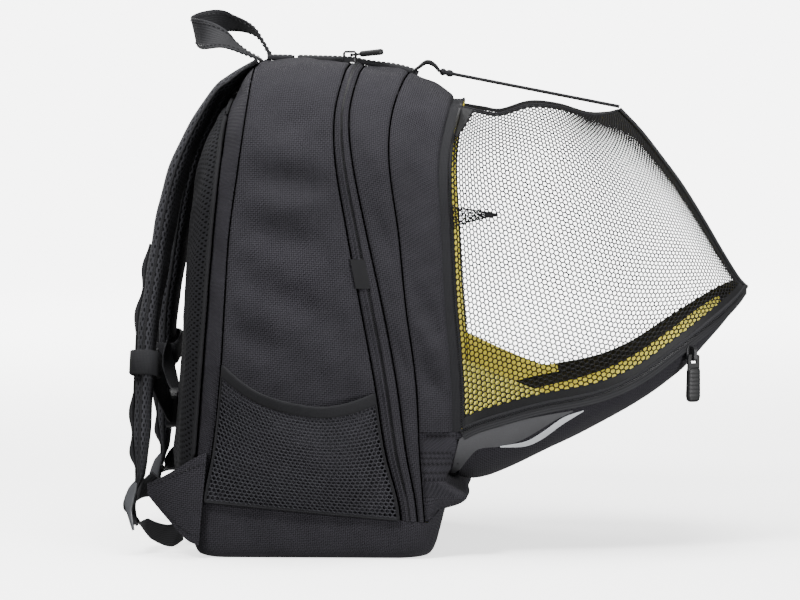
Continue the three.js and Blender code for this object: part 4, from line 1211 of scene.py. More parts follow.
@dataclass
class Shelf:
    """The front panel swung out as a shelf, with its grey side panels, lining and zip."""

    sizes: Table = Table(
        ("x", "half", "rim", "floor"),
        (
            (124, 133, 107, 65), (136, 133, 113.5, 60), (156, 132.5, 120, 66), (189, 131, 129, 82),
            (238, 126, 139, 107), (271, 119, 153, 126), (304, 108, 176, 149), (330, 91, 195, 177),
            (348, 68, 208, 195), (358, 44, 215, 205), (362, 24, 217.5, 209), (364.5, 6, 217.5, 214),
        ),
    )
    hinge_x: float = 124.0
    tip_x: float = 364.5
    lining_x: float = 350.0
    bay_wall_x: float = 95.0
    roundness: float = 0.55
    slant: float = 10.5
    wall: float = 3.0
    grey: Table = Table(
        ("x", "upper", "lower"),
        ((124, 101, 66), (128, 104, 73), (133, 107.5, 85), (139, 110.5, 92.6), (156, 114, 95),
         (172, 117, 99.6), (185, 119.3, 106.5), (201, 122.2, 116.5), (216, 124.6, 123.8)),
    )
    strip: Table = Table(
        ("x", "upper", "lower"),
        ((156, 95.4, 94.6), (177, 99.4, 95.6), (190.5, 107, 101.6), (207.5, 118.8, 113.8),
         (224.5, 124.9, 124.1)),
    )

    def point(self, x: Array, across: Array) -> Array:
        """Points of the shelf's outside, from the hinge along x and from rim to rim across."""
        angle = np.abs(across) * math.pi / 2
        down = np.clip(np.cos(angle), 0, 1) ** self.roundness
        slant = self.slant * down * np.maximum(0, 1 - (x - self.hinge_x) / 30) ** 2
        half, rim, floor = (self.sizes.read(n, x) for n in ("half", "rim", "floor"))
        y = np.sign(across) * half * np.sin(angle) ** self.roundness
        return np.stack([x - slant, y, mix(rim, floor, down)], axis=-1)

    def section_z(self, y: Array) -> Array:
        """The height of the shelf's outside at its hinge, across the bag."""
        half, rim, floor = (self.sizes.read(n, self.hinge_x) for n in ("half", "rim", "floor"))
        angle = np.arcsin(np.clip(np.abs(y) / half, 0, 1) ** (1 / self.roundness))
        return mix(rim, floor, np.cos(angle) ** self.roundness)

    def at_height(self, x: Array, z: Array, side: Side) -> Array:
        """Points of the shelf's side at a height."""
        rim, floor = self.sizes.read("rim", x), self.sizes.read("floor", x)
        down = np.clip((rim - z) / (rim - floor), 0, 0.999)
        return self.point(x, side.value * np.arccos(down ** (1 / self.roundness)) / (math.pi / 2))

    def grid(self, last: float) -> Array:
        """The shelf's outside as a grid from its hinge to a last x, closer near its tip."""
        x = mix(self.hinge_x, last, 1 - (1 - np.linspace(0, 1, 84)) ** 1.5)
        return self.point(*np.meshgrid(x, np.linspace(-1, 1, 97), indexing="ij"))

    def patch(self, table: Table, side: Side, lift: float) -> Array:
        """A patch on one side between two lines of a table, lifted off the cloth."""
        x = np.linspace(table.rows[0][0], table.rows[-1][0], 40)
        t = np.linspace(0, 1, 9)
        high, low = table.read("upper", x), table.read("lower", x)
        points = self.at_height(x[:, None] + 0 * t, mix(high[:, None], low[:, None], t[None]), side)
        return points + normals(points) * lift * -side.value

    def build(self) -> None:
        """Makes the shelf and dresses it."""
        grid = self.grid(self.tip_x)
        x, y = grid[..., 0], grid[..., 1]
        ripple = np.sin(x * 0.06 + y * 0.03) * np.sin(y * 0.045 + 0.6)
        quiet = np.clip(1 - np.abs(np.linspace(-1, 1, 97)), 0, 0.3)[None] / 0.3
        cloth = grid + normals(grid) * (1.2 * ripple * quiet)[..., None]
        Piece("shelf_cloth").shell(cloth, self.wall).make(FINISH.polyester, "polyester", ("flap_shell",))
        inside = self.grid(self.lining_x)[2:, 2:-2]
        inside = inside - normals(inside) * (self.wall + 0.6)
        Piece("shelf_lining").shell(inside, 1.0).make(FINISH.lining, "lining", ("flap_lining",))
        for side in Side:
            panel = Piece(f"shelf_panel_{side.word}")
            panel.shell(self.patch(self.grey, side, 1.0), 0.9 * -side.value)
            panel.make(FINISH.grey, "grey_panel", (f"flap_side_{side.word}",))
            tape = Piece(f"shelf_reflector_{side.word}")
            tape.shell(self.patch(self.strip, side, 1.7), 0.6 * -side.value)
            tape.make(FINISH.reflective, "grey_panel")
        self.build_hinge()
        self.build_rim()

    def build_hinge(self) -> None:
        """Carries the cloth and the lining on from the shelf to the wall behind the bay."""
        grid = self.grid(self.tip_x)
        edge, out = grid[:5, 1:-1], normals(grid)[:5, 1:-1]
        for name, depth, finish, slot in (("shelf_hinge_cloth", 3.1, FINISH.polyester, "polyester"),
                                          ("shelf_hinge_lining", 4.3, FINISH.lining, "lining")):
            rows = (edge - out * depth)[::-1]
            back = np.repeat(rows[-1:], 4, axis=0)
            back[..., 0] = mix(back[..., 0], self.bay_wall_x, np.linspace(0.25, 1, 4)[:, None])
            Piece(name).shell(np.concatenate([rows, back]), 0.8).make(finish, slot)

    def build_rim(self) -> None:
        """Sews the zip round the shelf's rim."""
        x = mix(126.0, 364.4, 1 - (1 - np.linspace(0, 1, 90)) ** 1.6)
        z = self.sizes.read("rim", x) - np.interp(x, (126, 340, 364), (4, 4, 1.2))
        near = self.at_height(x, z, Side.LEFT)
        line = np.concatenate([near, (near * MIRROR)[::-1]])
        along = tangents(line)
        out = unit(np.cross(along, UP))
        up = unit(np.cross(out, along))
        Piece("shelf_zip_tape").strap(line + out + up * 0.5, up, 9.0, 1.2).make(FINISH.webbing, "webbing")
        chain = Piece("shelf_zip_teeth").teeth(line + out * 2.0 + up * 3.0, out, up, 1.9, 0.8)
        chain.make(FINISH.teeth, "webbing")
        rim = np.concatenate([self.point(x, np.full(90, -1.0)), self.point(x, np.full(90, 1.0))[::-1]])
        Piece("shelf_binding").tubes((rim + UP * 0.6)[None], 1.8, 8).make(FINISH.elastic, "webbing")


@dataclass
class NetPouch:
    """The net over the shelf, with its hems, its front tape and the yellow triangles in its corners."""

    form: BagForm
    shelf: Shelf
    eye: Array
    pitch: float = 3.9
    strand: float = 0.6
    ridge: tuple[tuple[float, float], ...] = (
        (363.5, 219), (356, 228), (343, 249), (326, 278), (309, 305), (292, 328), (274, 351), (256, 370))
    mouth: tuple[Point, ...] = (
        (139, 101, 371), (155, 107, 369), (180, 109, 376), (205, 98, 374), (230, 66, 367), (247, 28, 367.5))
    mouth_start: float = 374.0
    rounds: int = 14
    longest_step: float = 0.06
    close_enough: float = 2e-4

    def __post_init__(self) -> None:
        """Works out the four edges of the left half."""
        z = np.linspace(self.form.hinge_z + 3, self.mouth_start, 9)
        y = np.linspace(2, 3, 9) - self.form.arch_half(Seam.FRONT, z)
        edge = np.stack([self.form.x(Seam.FRONT, z) + 8.6, y, z], axis=-1)
        rim = [(x, 1 - half, top + 1.2) for x, half, top, _ in self.shelf.sizes.rows[1:-1]]
        ridge = [(x, 0.0, z) for x, z in self.ridge]
        mouth = [(x, -y, z) for x, y, z in self.mouth]
        self.edge, self.ridge_line = Path(edge), Path(ridge)
        self.rim_line = Path([edge[0], *rim, ridge[0]])
        self.mouth_line = Path([edge[-1], *mouth, ridge[-1]])

    def patch(self, along: Array, up: Array) -> Array:
        """Points of the left half of the net, from the bag to the ridge and from the rim to the mouth."""
        left, right = self.edge.by_length(up), self.ridge_line.by_length(up)
        low, high = self.rim_line.by_length(along), self.mouth_line.by_length(along)
        u, v = along[..., None], up[..., None]
        corners = [p.by_length(np.array(t)) for p, t in (
            (self.edge, 0.0), (self.ridge_line, 0.0), (self.edge, 1.0), (self.ridge_line, 1.0))]
        ends = mix(mix(corners[0], corners[1], u), mix(corners[2], corners[3], u), v)
        place = mix(left, right, u) + mix(low, high, v) - ends
        place[..., 1] = np.minimum(place[..., 1], -0.9)
        return place

    def slack(self, along: Array, up: Array) -> Array:
        """Points of the slack left half, carried straight on past its edges."""
        u, v = np.clip(along, 0, 1), np.clip(up, 0, 1)
        h = 0.004
        spots = [(u, v), (np.clip(u + h, 0, 1), v), (np.clip(u - h, 0, 1), v),
                 (u, np.clip(v + h, 0, 1)), (u, np.clip(v - h, 0, 1))]
        here, east, west, north, south = (self.hung(a, b) for a, b in spots)
        wide, tall = spots[1][0] - spots[2][0], spots[3][1] - spots[4][1]
        return (here + (east - west) * ((along - u) / wide)[..., None]
                + (north - south) * ((up - v) / tall)[..., None])

    def hung(self, along: Array, up: Array) -> Array:
        """Points of the left half as it hangs, a little slack."""
        points = self.patch(along, up)
        ease = np.sin(math.pi * along) * np.sin(math.pi * up)
        points[..., 1] += ease * 1.5 * np.sin(along * 19 + up * 7) * np.sin(up * 13 - along * 5)
        return points

    def half(self, side: Side, along: Array, up: Array) -> Array:
        """Points of one half as it hangs."""
        return self.hung(along, up) * MIRROR * side.flip

    def tuck(self, along: Array, up: Array) -> Array:
        """A wedge of the left half, folded double at the bag's edge."""
        high = 0.607 + 0.03 * (2 * up - 1) * (1 - 0.9 * along)
        return self.half(Side.LEFT, 0.17 * along, high) - ACROSS * 1.2

    def seen(self, points: Array) -> Array:
        """Where points are seen from the photo's place, as slopes sideways and up."""
        away = points - self.eye
        return away[..., [0, 2]] / away[..., 1:2]

    def behind(self, along: Array, up: Array) -> tuple[Array, Array]:
        """Finds the shares on the right half that lie behind shares on the left half, seen in the photo.

        Args:
            along: Shares on the left half from the bag to the ridge.
            up: Shares from the rim to the mouth.

        Returns:
            The shares on the right half, along and up; where none is found they are the left half's own.
        """
        aim = self.seen(self.slack(along, up))
        u, v, h = along.copy(), up.copy(), 1e-3
        for _ in range(self.rounds):
            here = self.seen(self.slack(u, v) * MIRROR)
            by_u = (self.seen(self.slack(u + h, v) * MIRROR) - here) / h
            by_v = (self.seen(self.slack(u, v + h) * MIRROR) - here) / h
            miss = aim - here
            turn = by_u[..., 0] * by_v[..., 1] - by_u[..., 1] * by_v[..., 0]
            turn = np.where(np.abs(turn) < 1e-9, 1e-9, turn)
            step_u = (miss[..., 0] * by_v[..., 1] - miss[..., 1] * by_v[..., 0]) / turn
            step_v = (by_u[..., 0] * miss[..., 1] - by_u[..., 1] * miss[..., 0]) / turn
            u = u + np.clip(step_u, -self.longest_step, self.longest_step)
            v = v + np.clip(step_v, -self.longest_step, self.longest_step)
        lost = np.abs(aim - self.seen(self.slack(u, v) * MIRROR)).max(axis=-1) > self.close_enough
        LOG.info("net cells not lined up: %d of %d", int(lost.sum()), lost.size)
        return np.where(lost, along, u), np.where(lost, up, v)

    def build(self) -> None:
        """Knits both halves and hems them."""
        for side in Side:
            self.build_strands(side)
            self.build_corner(side)
            self.build_bands(side)
        self.build_hems()

    def build_strands(self, side: Side) -> None:
        """Knits one half, its cells on end; seen as in the photo the right half lies behind the left."""
        wide = (self.rim_line.length + self.mouth_line.length) / 2
        tall = (self.edge.length + self.ridge_line.length) / 2
        near = side is Side.LEFT
        net = Piece(f"net_strands_{side.word}").cells(
            lambda u, v: self.half(side, v, u), tall, wide, self.pitch, self.strand,
            None if near else lambda u, v: self.behind(v, u)[::-1],
            lambda along: np.interp(along, (0.5, 0.8, 1), (1, 0.86, 0.74)))
        if near:
            net.cells(self.tuck, 42, 16, 2.6, 0.42)
        net.make(FINISH.netting, "netting", (f"net_{side.word}",))

    def build_corner(self, side: Side) -> None:
        """Sews the yellow triangle into the shelf's corner."""
        t, k = np.meshgrid(np.linspace(0, 1, 24), np.linspace(0, 1, 8), indexing="ij")
        points = self.patch(0.25 * t + 0.004, np.maximum(0.2 * (1 - t), 0.03) * k)
        points = points * MIRROR * side.flip
        points[..., 1] -= side.value * 1.6
        corner = Piece(f"lining_corner_{side.word}_cloth").shell(points, 1.0 * side.value)
        corner.make(FINISH.lining, "lining", (f"lining_corner_{side.word}",))

    def build_bands(self, side: Side) -> None:
        """Doubles the net along its foot, and gathers it where it meets the bag's top."""
        for name, reach, low, high, taper in (("foot", 1.0, 0.0, 0.03, 0.0),
                                              ("gather", 0.085, 0.86, 1.0, 0.75)):
            along, up = np.meshgrid(np.linspace(0, reach, 60), np.linspace(low, high, 8), indexing="ij")
            band = self.half(side, along * (1 - taper * (high - up) / (high - low)), up)
            strip = Piece(f"net_{name}_band_{side.word}").shell(band + normals(band) * 0.5, 1.0)
            strip.make(FINISH.netting, "netting")

    def build_hems(self) -> None:
        """Binds the net's mouth, foot and sides, and tapes its ridge."""
        share = np.linspace(0, 1, 120)
        mouth = self.mouth_line.by_length(share)
        mouth = np.concatenate([mouth, (mouth * MIRROR)[-2::-1]])
        up = square_to(mouth, UP)
        Piece("net_mouth_hem").strap(mouth - up, up, 3.4, 1.8).make(FINISH.elastic, "netting")
        for name, line, radius in (("foot", self.rim_line, 1.6), ("side", self.edge, 1.3)):
            hem = line.by_length(share)
            tubes = Piece(f"net_{name}_hem").tubes(np.array([hem, hem * MIRROR]), radius, 8)
            tubes.make(FINISH.elastic, "netting")
        ridge = self.ridge_line.by_length(share)
        ridge = ridge + np.cross(ACROSS, tangents(ridge)) * 1.4
        tape = Piece("net_ridge_tape").strap(ridge, ACROSS, 12.0, 3.2)
        tape.make(FINISH.webbing, "webbing", ("net_front_tape",))


@dataclass
class TopGear:
    """What lies on the bag's top: the grab handle, the strap with its lock and the elastic cord."""

    form: BagForm
    handle: Table = Table(
        ("order", "x", "y", "z", "turn"),
        ((0, -48, -26, 412.6, 0), (1, -61, -29, 419, 6), (2, -78, -30, 428, 32), (3, -98, -20, 434, 70),
         (4, -107, 0, 437, 90), (5, -100, 18, 442, 108), (6, -82, 29, 445, 140), (7, -58, 28, 437, 160),
         (8, -42, 26, 413.5, 180)),
    )
    strap_width: float = 25.0
    stitch_rows: tuple[float, float] = (-9.5, 9.5)
    lock: tuple[Point, ...] = ((80, 0, 402.6), (85, 0, 406), (92, 0, 410.6), (98.5, 0, 408), (103, 0, 402.6))
    lock_width: float = 29.0
    knot: tuple[Point, Point] = ((103.0, 0.0, 402.8), (115.0, 0.0, 400.3))
    cord_start: Point = (115.0, 0.0, 400.4)
    cord_end: Point = (256.8, 0.0, 372.7)
    cord_width: float = 3.0

    def build(self) -> None:
        """Makes the cord, the strap with its lock, and the handle."""
        self.build_cord()
        stitching = Piece("top_strap_stitching")
        for name, start, end in (("top_strap", -18.0, 84.5), ("handle_tail", -44.0, -22.0)):
            x = np.linspace(start, end, 40)
            lift = np.interp(x, (-44, 17, 40, 70, 84), (2.8, 2.8, 2.3, 1.7, 1.8))
            path = np.stack([x, 0 * x, self.form.crest_z(x) + lift], axis=-1)
            tape = Piece(f"{name}_webbing").strap(path, ACROSS, self.strap_width, 4.6)
            tape.make(FINISH.webbing, "webbing", (name,))
            for y in self.stitch_rows:
                stitching.stitches(path + np.array([0, y, 2.3]), UP)
        stitching.make(FINISH.thread, "webbing")
        self.build_lock()
        self.build_handle()

    def build_handle(self) -> None:
        """Bends the grab handle and sews two rows of stitches on each face."""
        order = np.linspace(0, 8, 90)
        path, turn = self.handle.line(order), np.radians(self.handle.read("turn", order))
        across = square_to(path, np.stack([-0.22 * np.sin(turn), np.cos(turn), np.sin(turn)], axis=-1))
        tape = Piece("grab_handle_webbing").strap(path, across, self.strap_width, 2.2)
        tape.make(FINISH.webbing, "webbing", ("grab_handle",))
        out = unit(np.cross(across, tangents(path)))
        rows = Piece("grab_handle_stitching")
        for face in (-1, 1):
            for shift in self.stitch_rows:
                rows.stitches(path + across * shift + out * 1.2 * face, out * face)
        rows.make(FINISH.thread, "webbing")

    def build_lock(self) -> None:
        """Bends the strap's lock and ties the cord's knot behind it."""
        share = np.linspace(0, 1, 40)
        path = Path(self.lock).by_length(share)
        thick = np.interp(share, (0, 0.25, 0.6, 1), (2.4, 3.0, 4.2, 2.4))
        lock = Piece("top_lock_bent").strap(path, ACROSS, self.lock_width, thick, 20, 0.5)
        lock.make(FINISH.plastic, "plastic", ("top_lock",))
        share = np.linspace(0, 1, 30)
        radius = np.interp(share, (0, 0.1, 0.28, 0.45, 0.62, 0.82, 1), (1.2, 2.8, 3.3, 2.0, 3.1, 3.0, 1.6))
        path = mix(*np.array(self.knot), share[:, None])
        knot = Piece("cord_knot").strap(path, ACROSS, radius * 2, radius * 2, 16, 1.0)
        knot.make(FINISH.elastic, "plastic", ("cord_stop",))

    def build_cord(self) -> None:
        """Stretches the elastic cord from its stop to the net's corner."""
        share = np.linspace(0, 1, 41)[:, None]
        line = mix(*np.array([self.cord_start, self.cord_end]), share)
        piece = Piece("net_cord_elastic").tubes(line[None], self.cord_width / 2, 10, open_ended=False)
        cord = piece.make(FINISH.elastic, "webbing", ("net_cord",))


@dataclass
class Harness:
    """One padded shoulder strap with its webbing, lock and lower anchor."""

    side: Side
    strap: Table = Table(
        ("order", "x", "y", "z", "wide", "thick"),
        (
            (0, -50, 50, 411.0, 30, 1.6), (1, -71.2, 53, 394.4, 31, 5.2), (2, -84, 56, 382.4, 32, 5),
            (3, -101, 60, 353, 33, 6.2), (4, -114, 65, 322.5, 33, 7.2), (5, -122.6, 70, 289.5, 33, 7.5),
            (6, -128.6, 75, 256, 32, 7.5), (7, -133.8, 80, 223, 31, 7.2), (8, -139, 85, 190, 29, 6.8),
            (9, -141, 90, 155, 27, 6.4), (10, -142.5, 95, 120, 25, 6), (11, -143.5, 99, 90, 23, 5.6),
            (12, -143.5, 102, 68, 20, 5),
        ),
    )
    last_order: int = 12
    strap_end: Point = (-147.0, 103.0, 55.0)
    webbing_end: float = 62.4
    webbing_width: float = 25.0
    anchor_width: float = 24.0
    keeper_at: float = 0.742
    keeper: tuple[tuple[float, float], ...] = (
        (3.3, -10.0), (4.6, -10.2), (5.7, -9.0), (5.7, 9.0), (4.6, 10.2), (3.3, 10.0), (3.3, -10.0))
    wing: tuple[tuple[Point, Point], ...] = (
        ((-85, 142.4, 90), (-93, 132, 12)), ((-98, 140.4, 84), (-103, 132, 17)),
        ((-118, 130, 71), (-119, 127, 34)), ((-136, 117, 61), (-136, 117, 52)))
    anchor: Table = Table(
        ("order", "x", "y", "z", "turn"),
        ((0, -149.5, 103, 44.5, 0), (0.35, -144.5, 103.3, 47.4, 4), (1, -139, 105.5, 50.5, 24),
         (2, -131, 112.4, 57.5, 62), (3, -124.5, 118.2, 63, 70)),
    )
    tail: tuple[Point, ...] = (
        (-146.5, 103, 47.5), (-151.5, 103, 51), (-156.4, 103, 47), (-156.9, 103, 40), (-152.6, 103, 34.5),
        (-148.2, 103, 28.5), (-142, 103, 20.5), (-131, 104, 13.5), (-119, 105, 10.5), (-109, 106, 15))
    lock: tuple[Point, ...] = (
        (-147, 103, 62), (-150, 103, 55), (-152.5, 103, 47), (-152.5, 103, 39), (-151, 103, 31),
        (-149, 103, 22))

    def name(self, stem: str) -> str:
        """A piece's or node's name on this side."""
        return f"{stem}_{self.side.word}"

    def placed(self, points: Array) -> Array:
        """Points of the right side moved to this side."""
        return np.asarray(points, float) * self.side.flip

    def middle(self, share: Array) -> Array:
        """The strap's middle line at shares of its length."""
        return self.placed(self.strap.line(share * self.last_order))

    def build(self) -> None:
        """Makes the strap, its webbing and its anchor."""
        share = np.linspace(0, 1, 110)
        path = self.middle(share)
        across = square_to(path, ACROSS)
        wide, thick = (self.strap.read(k, share * self.last_order) for k in ("wide", "thick"))
        swell = np.interp(share, (0, 0.9, 1), (1, 1, 0.45)) * (1 + 0.04 * np.sin(share * 60))
        low = mix(path[-1], self.placed(self.strap_end), np.linspace(0.12, 1, 9)[:, None])
        path = np.concatenate([path, low])
        across = np.concatenate([across, np.repeat(across[-1:], 9, axis=0)])
        wide = np.concatenate([wide, np.linspace(wide[-1], 13, 9)])
        thick = np.concatenate([thick, np.linspace(5, 3, 9)])
        swell = np.concatenate([swell, np.linspace(0.45, 0.3, 9)])
        # The strap's knit is painted greyer than the back panel's, as painted light.
        pad = Piece(self.name("strap_padding"))
        pad.strap(path, across, wide * 2 - 3, thick * 2.2 * swell, 28, 0.72)
        padding = pad.make(FINISH.strap_mesh, "air_mesh", (self.name("shoulder_strap"),))

        def sewn(points: Array) -> Array:
            """The strap's edges, its ends and the run under its webbing."""
            near = np.linalg.norm(points[:, None] - path[None], axis=2).argmin(axis=1)
            aside = np.abs(np.sum((points - path[near]) * across[near], axis=1))
            return (aside > wide[near] - 5) | (near < 6) | (near > 100) | ((near > 54) & (aside < 12))

        Padding(most_mm=2.6).fill(padding, sewn)
        reach = across * (wide - 1.5)[:, None]
        edges = Piece(self.name("strap_edge_binding")).tubes(np.array([path + reach, path - reach]), 1.2, 8)
        edges.make(FINISH.elastic, "webbing")
        out = np.cross(across, tangents(path))
        self.build_webbing(float(np.sign(-out[60, 0])))
        self.build_keeper()
        self.build_lock()
        self.build_wing()
        self.build_anchor()

    def build_webbing(self, outward: float) -> None:
        """Sews the webbing on the strap's outer face in slack loops.

        Args:
            outward: The sign of the face that looks away from the wearer's back.
        """
        share = np.linspace(0.5, 0.985, 90)
        path = self.middle(share)
        across = square_to(path, ACROSS)
        out = unit(np.cross(across, tangents(path))) * outward
        t = (share - 0.5) / 0.485
        taper = np.interp(share, (0, 0.9, 1), (1, 1, 0.45))
        bulge = 3.2 * np.sin(t * 5 * math.pi) ** 2 * (np.abs(share - self.keeper_at) > 0.06)
        above = 1.1 * self.strap.read("thick", share * self.last_order) * taper + 0.6 + bulge / 2
        path = path + out * above[:, None]
        end = path[-1].copy()
        end[2] = self.webbing_end
        thick = np.concatenate([2.0 + bulge, np.full(6, 2.0)])
        path = np.concatenate([path, mix(path[-1], end, np.linspace(0.2, 1, 6)[:, None])])
        across = np.concatenate([across, np.broadcast_to(ACROSS, (6, 3))])
        tape = Piece(self.name("strap_webbing_tape")).strap(path, across, self.webbing_width, thick)
        tape.make(FINISH.webbing, "webbing", (self.name("strap_webbing"),))

    def build_keeper(self) -> None:
        """Wraps the elastic keeper round the strap."""
        path = self.middle(self.keeper_at + np.array([-0.02, 0.0, 0.02]))
        along, across = tangents(path)[1], square_to(path, ACROSS)[1]
        out = unit(np.cross(across, along))
        wide, thick = (float(self.strap.read(k, self.keeper_at * self.last_order)) for k in ("wide", "thick"))
        angle = np.linspace(0, 2 * math.pi, 72, endpoint=False)
        rings = []
        for reach, spread in self.keeper:
            aside = (wide + reach) * signed_power(np.cos(angle), 0.5)
            above = (thick + reach) * signed_power(np.sin(angle), 0.5)
            rings.append(path[1] + along * spread + across * aside[:, None] + out * above[:, None])
        band = Piece(self.name("strap_keeper_band")).loft(np.array(rings), capped=False)
        band.make(FINISH.elastic, "webbing", (self.name("strap_keeper"),))

    def build_lock(self) -> None:
        """Bends the ladder lock that hangs under the strap, with a rib on each edge."""
        share = np.linspace(0, 1, 40)
        path = self.placed(Path(self.lock).by_length(share))
        thick = np.interp(share, (0, 0.15, 0.4, 0.6, 0.8, 1), (3.4, 7.2, 8.6, 5.0, 3.4, 2.2))
        lock = Piece(self.name("strap_lock_bent"))
        for y in (-14.0, 14.0):
            lock.strap(path + ACROSS * y, ACROSS, 3.6, thick, 14, 0.6)
        for at, wide, deep in ((3, 6.5, 4.0), (18, 5.0, 4.6), (33, 7.5, 2.6)):
            bar = path[at] + ACROSS * np.linspace(-14, 14, 9)[:, None]
            lock.strap(bar, tangents(path)[at], wide, deep, 14, 0.6)
        lock.make(FINISH.grey_plastic, "grey_plastic", (self.name("strap_lock"),))

    def build_wing(self) -> None:
        """Sews the padded wing into the side seam."""
        order, share, down = (np.linspace(0, 1, count) for count in (4, 24, 20))
        high, low = (hermite(order, np.array([row[k] for row in self.wing], float), share) for k in (0, 1))
        grid = self.placed(mix(high[:, None], low[:, None], down[None, :, None]))
        out = normals(grid)
        out = out * (np.sign(np.mean(out[..., 1])) * self.side.value)
        pillow = np.sin(math.pi * down)[None] * np.sin(math.pi * np.linspace(0.1, 1, 24))[:, None]
        outer = grid + out * (2.0 + 0.8 * pillow)[..., None]
        wing = Piece(self.name("anchor_wing_cloth")).shell(outer, 4.0, out)
        wing.make(FINISH.polyester, "polyester", (self.name("anchor_wing"),))
        stitching = Piece(self.name("anchor_wing_stitching"))
        for column in (2, 17):
            stitching.stitches(outer[:, column], out[:, column])
        stitching.make(FINISH.thread, "polyester")

    def build_anchor(self) -> None:
        """Runs the webbing from the wing to the lock and hangs its loose tail."""
        order = np.linspace(0, 3, 30)
        path, turn = self.placed(self.anchor.line(order)), np.radians(self.anchor.read("turn", order))
        guide = np.stack([-0.5 * np.sin(turn), self.side.value * np.cos(turn), np.sin(turn)], axis=-1)
        across = square_to(path, guide)
        tape = Piece(self.name("anchor_webbing_tape")).strap(path, across, self.anchor_width, 1.7)
        tape.make(FINISH.webbing, "webbing", (self.name("anchor_webbing"),))
        share = np.linspace(0, 1, 80)
        path = self.placed(Path(self.tail).by_length(share))
        twist = np.radians(np.interp(share, (0, 0.45, 0.62, 0.88, 1), (0, 0, 50, 58, 40)))
        path[:, 2] += 6.5 * np.sin(twist)
        across = np.stack([0 * twist, np.cos(twist), self.side.value * np.sin(twist)], axis=-1)
        tail = Piece(self.name("tail_webbing_tape")).strap(path, across, self.anchor_width, 1.7)
        tail.make(FINISH.webbing, "webbing", (self.name("tail_webbing"),))


@dataclass
class SternumStrap:
    """The chest strap between both keepers."""

    line: tuple[Point, ...] = (
        (-136, 51, 166), (-136.5, 48.5, 152), (-134, 46.5, 138), (-130, 43, 125.5), (-127, 37, 116.5),
        (-126, 30.5, 113.2), (-126.5, 25.5, 113))

    def build(self) -> None:
        """Makes both halves of the strap."""
        share = np.linspace(0, 1, 70)
        line = Path(self.line).by_length(share)
        wide = np.interp(share, (0, 0.45, 0.75, 1), (22, 22, 17, 20))
        for side in Side:
            path = line * side.flip
            across = unit(np.cross(tangents(path), -FORWARD))
            across[:, 0] += 0.5 * np.sin(math.pi * share)
            tape = Piece(f"sternum_webbing_{side.word}").strap(path, unit(across), wide, 1.9)
            tape.make(FINISH.webbing, "webbing", (f"sternum_strap_{side.word}",))


@dataclass
class SidePocket:
    """One mesh pocket with its elastic binding."""

    form: BagForm
    side: Side
    top: Table = Table(
        ("across", "top"),
        ((0, 163), (0.12, 153), (0.25, 144), (0.38, 138.5), (0.5, 135), (0.66, 132), (0.83, 134), (1, 140)),
    )
    bulge: float = 36.0
    pitch: float = 3.8
    strand: float = 0.6
    binding: float = 10.0

    def point(self, across: Array, z: Array) -> Array:
        """Points of the pocket, from the rear seam to the zip across and at a height."""
        x = mix(self.form.x(Seam.REAR, z) + 2, self.form.x(Seam.ZIP_REAR, z) - 2, across)
        foot = self.form.rim(x)
        up = np.clip((z - foot) / (self.top.read("top", across) - foot), 0, 1)
        out = self.bulge * np.clip(np.sin(math.pi * across), 0, 1) ** 0.8 * up ** 0.7
        return np.stack([x, self.side.value * (self.form.half(z) + 2.6 + out), z], axis=-1)

    def surface(self, across: Array, up: Array) -> Array:
        """Points of the pocket by shares across and up."""
        x = mix(self.form.x(Seam.REAR, 40.0), self.form.x(Seam.ZIP_REAR, 40.0), across)
        return self.point(across, mix(self.form.rim(x) + 1.2, self.top.read("top", across), up))

    def build(self) -> None:
        """Knits the mesh, binds its mouth and hems its other edges."""
        word, across = self.side.word, np.linspace(0, 1, 70)
        mesh = Piece(f"pocket_mesh_{word}")
        mesh.cells(lambda u, v: self.surface(u, v * 0.95), 150, 105, self.pitch, self.strand)
        mesh.make(FINISH.pocket_mesh, "netting", (f"side_pocket_{word}",))
        top = self.surface(across, np.ones(70))
        low = self.point(across, self.top.read("top", across) - self.binding)
        mouth = Piece(f"pocket_binding_elastic_{word}")
        mouth.strap((top + low) / 2, unit(top - low), self.binding, 2.6, 16, 0.5)
        mouth.make(FINISH.elastic, "webbing", (f"pocket_binding_{word}",))
        sides = np.array([self.surface(np.full(40, a), np.linspace(0, 1, 40)) for a in (0.0, 1.0)])
        hem = Piece(f"pocket_hem_{word}").tubes(sides, 1.4, 6)
        hem.tubes(self.surface(across, np.zeros(70))[None], 1.6, 6).make(FINISH.elastic, "webbing")


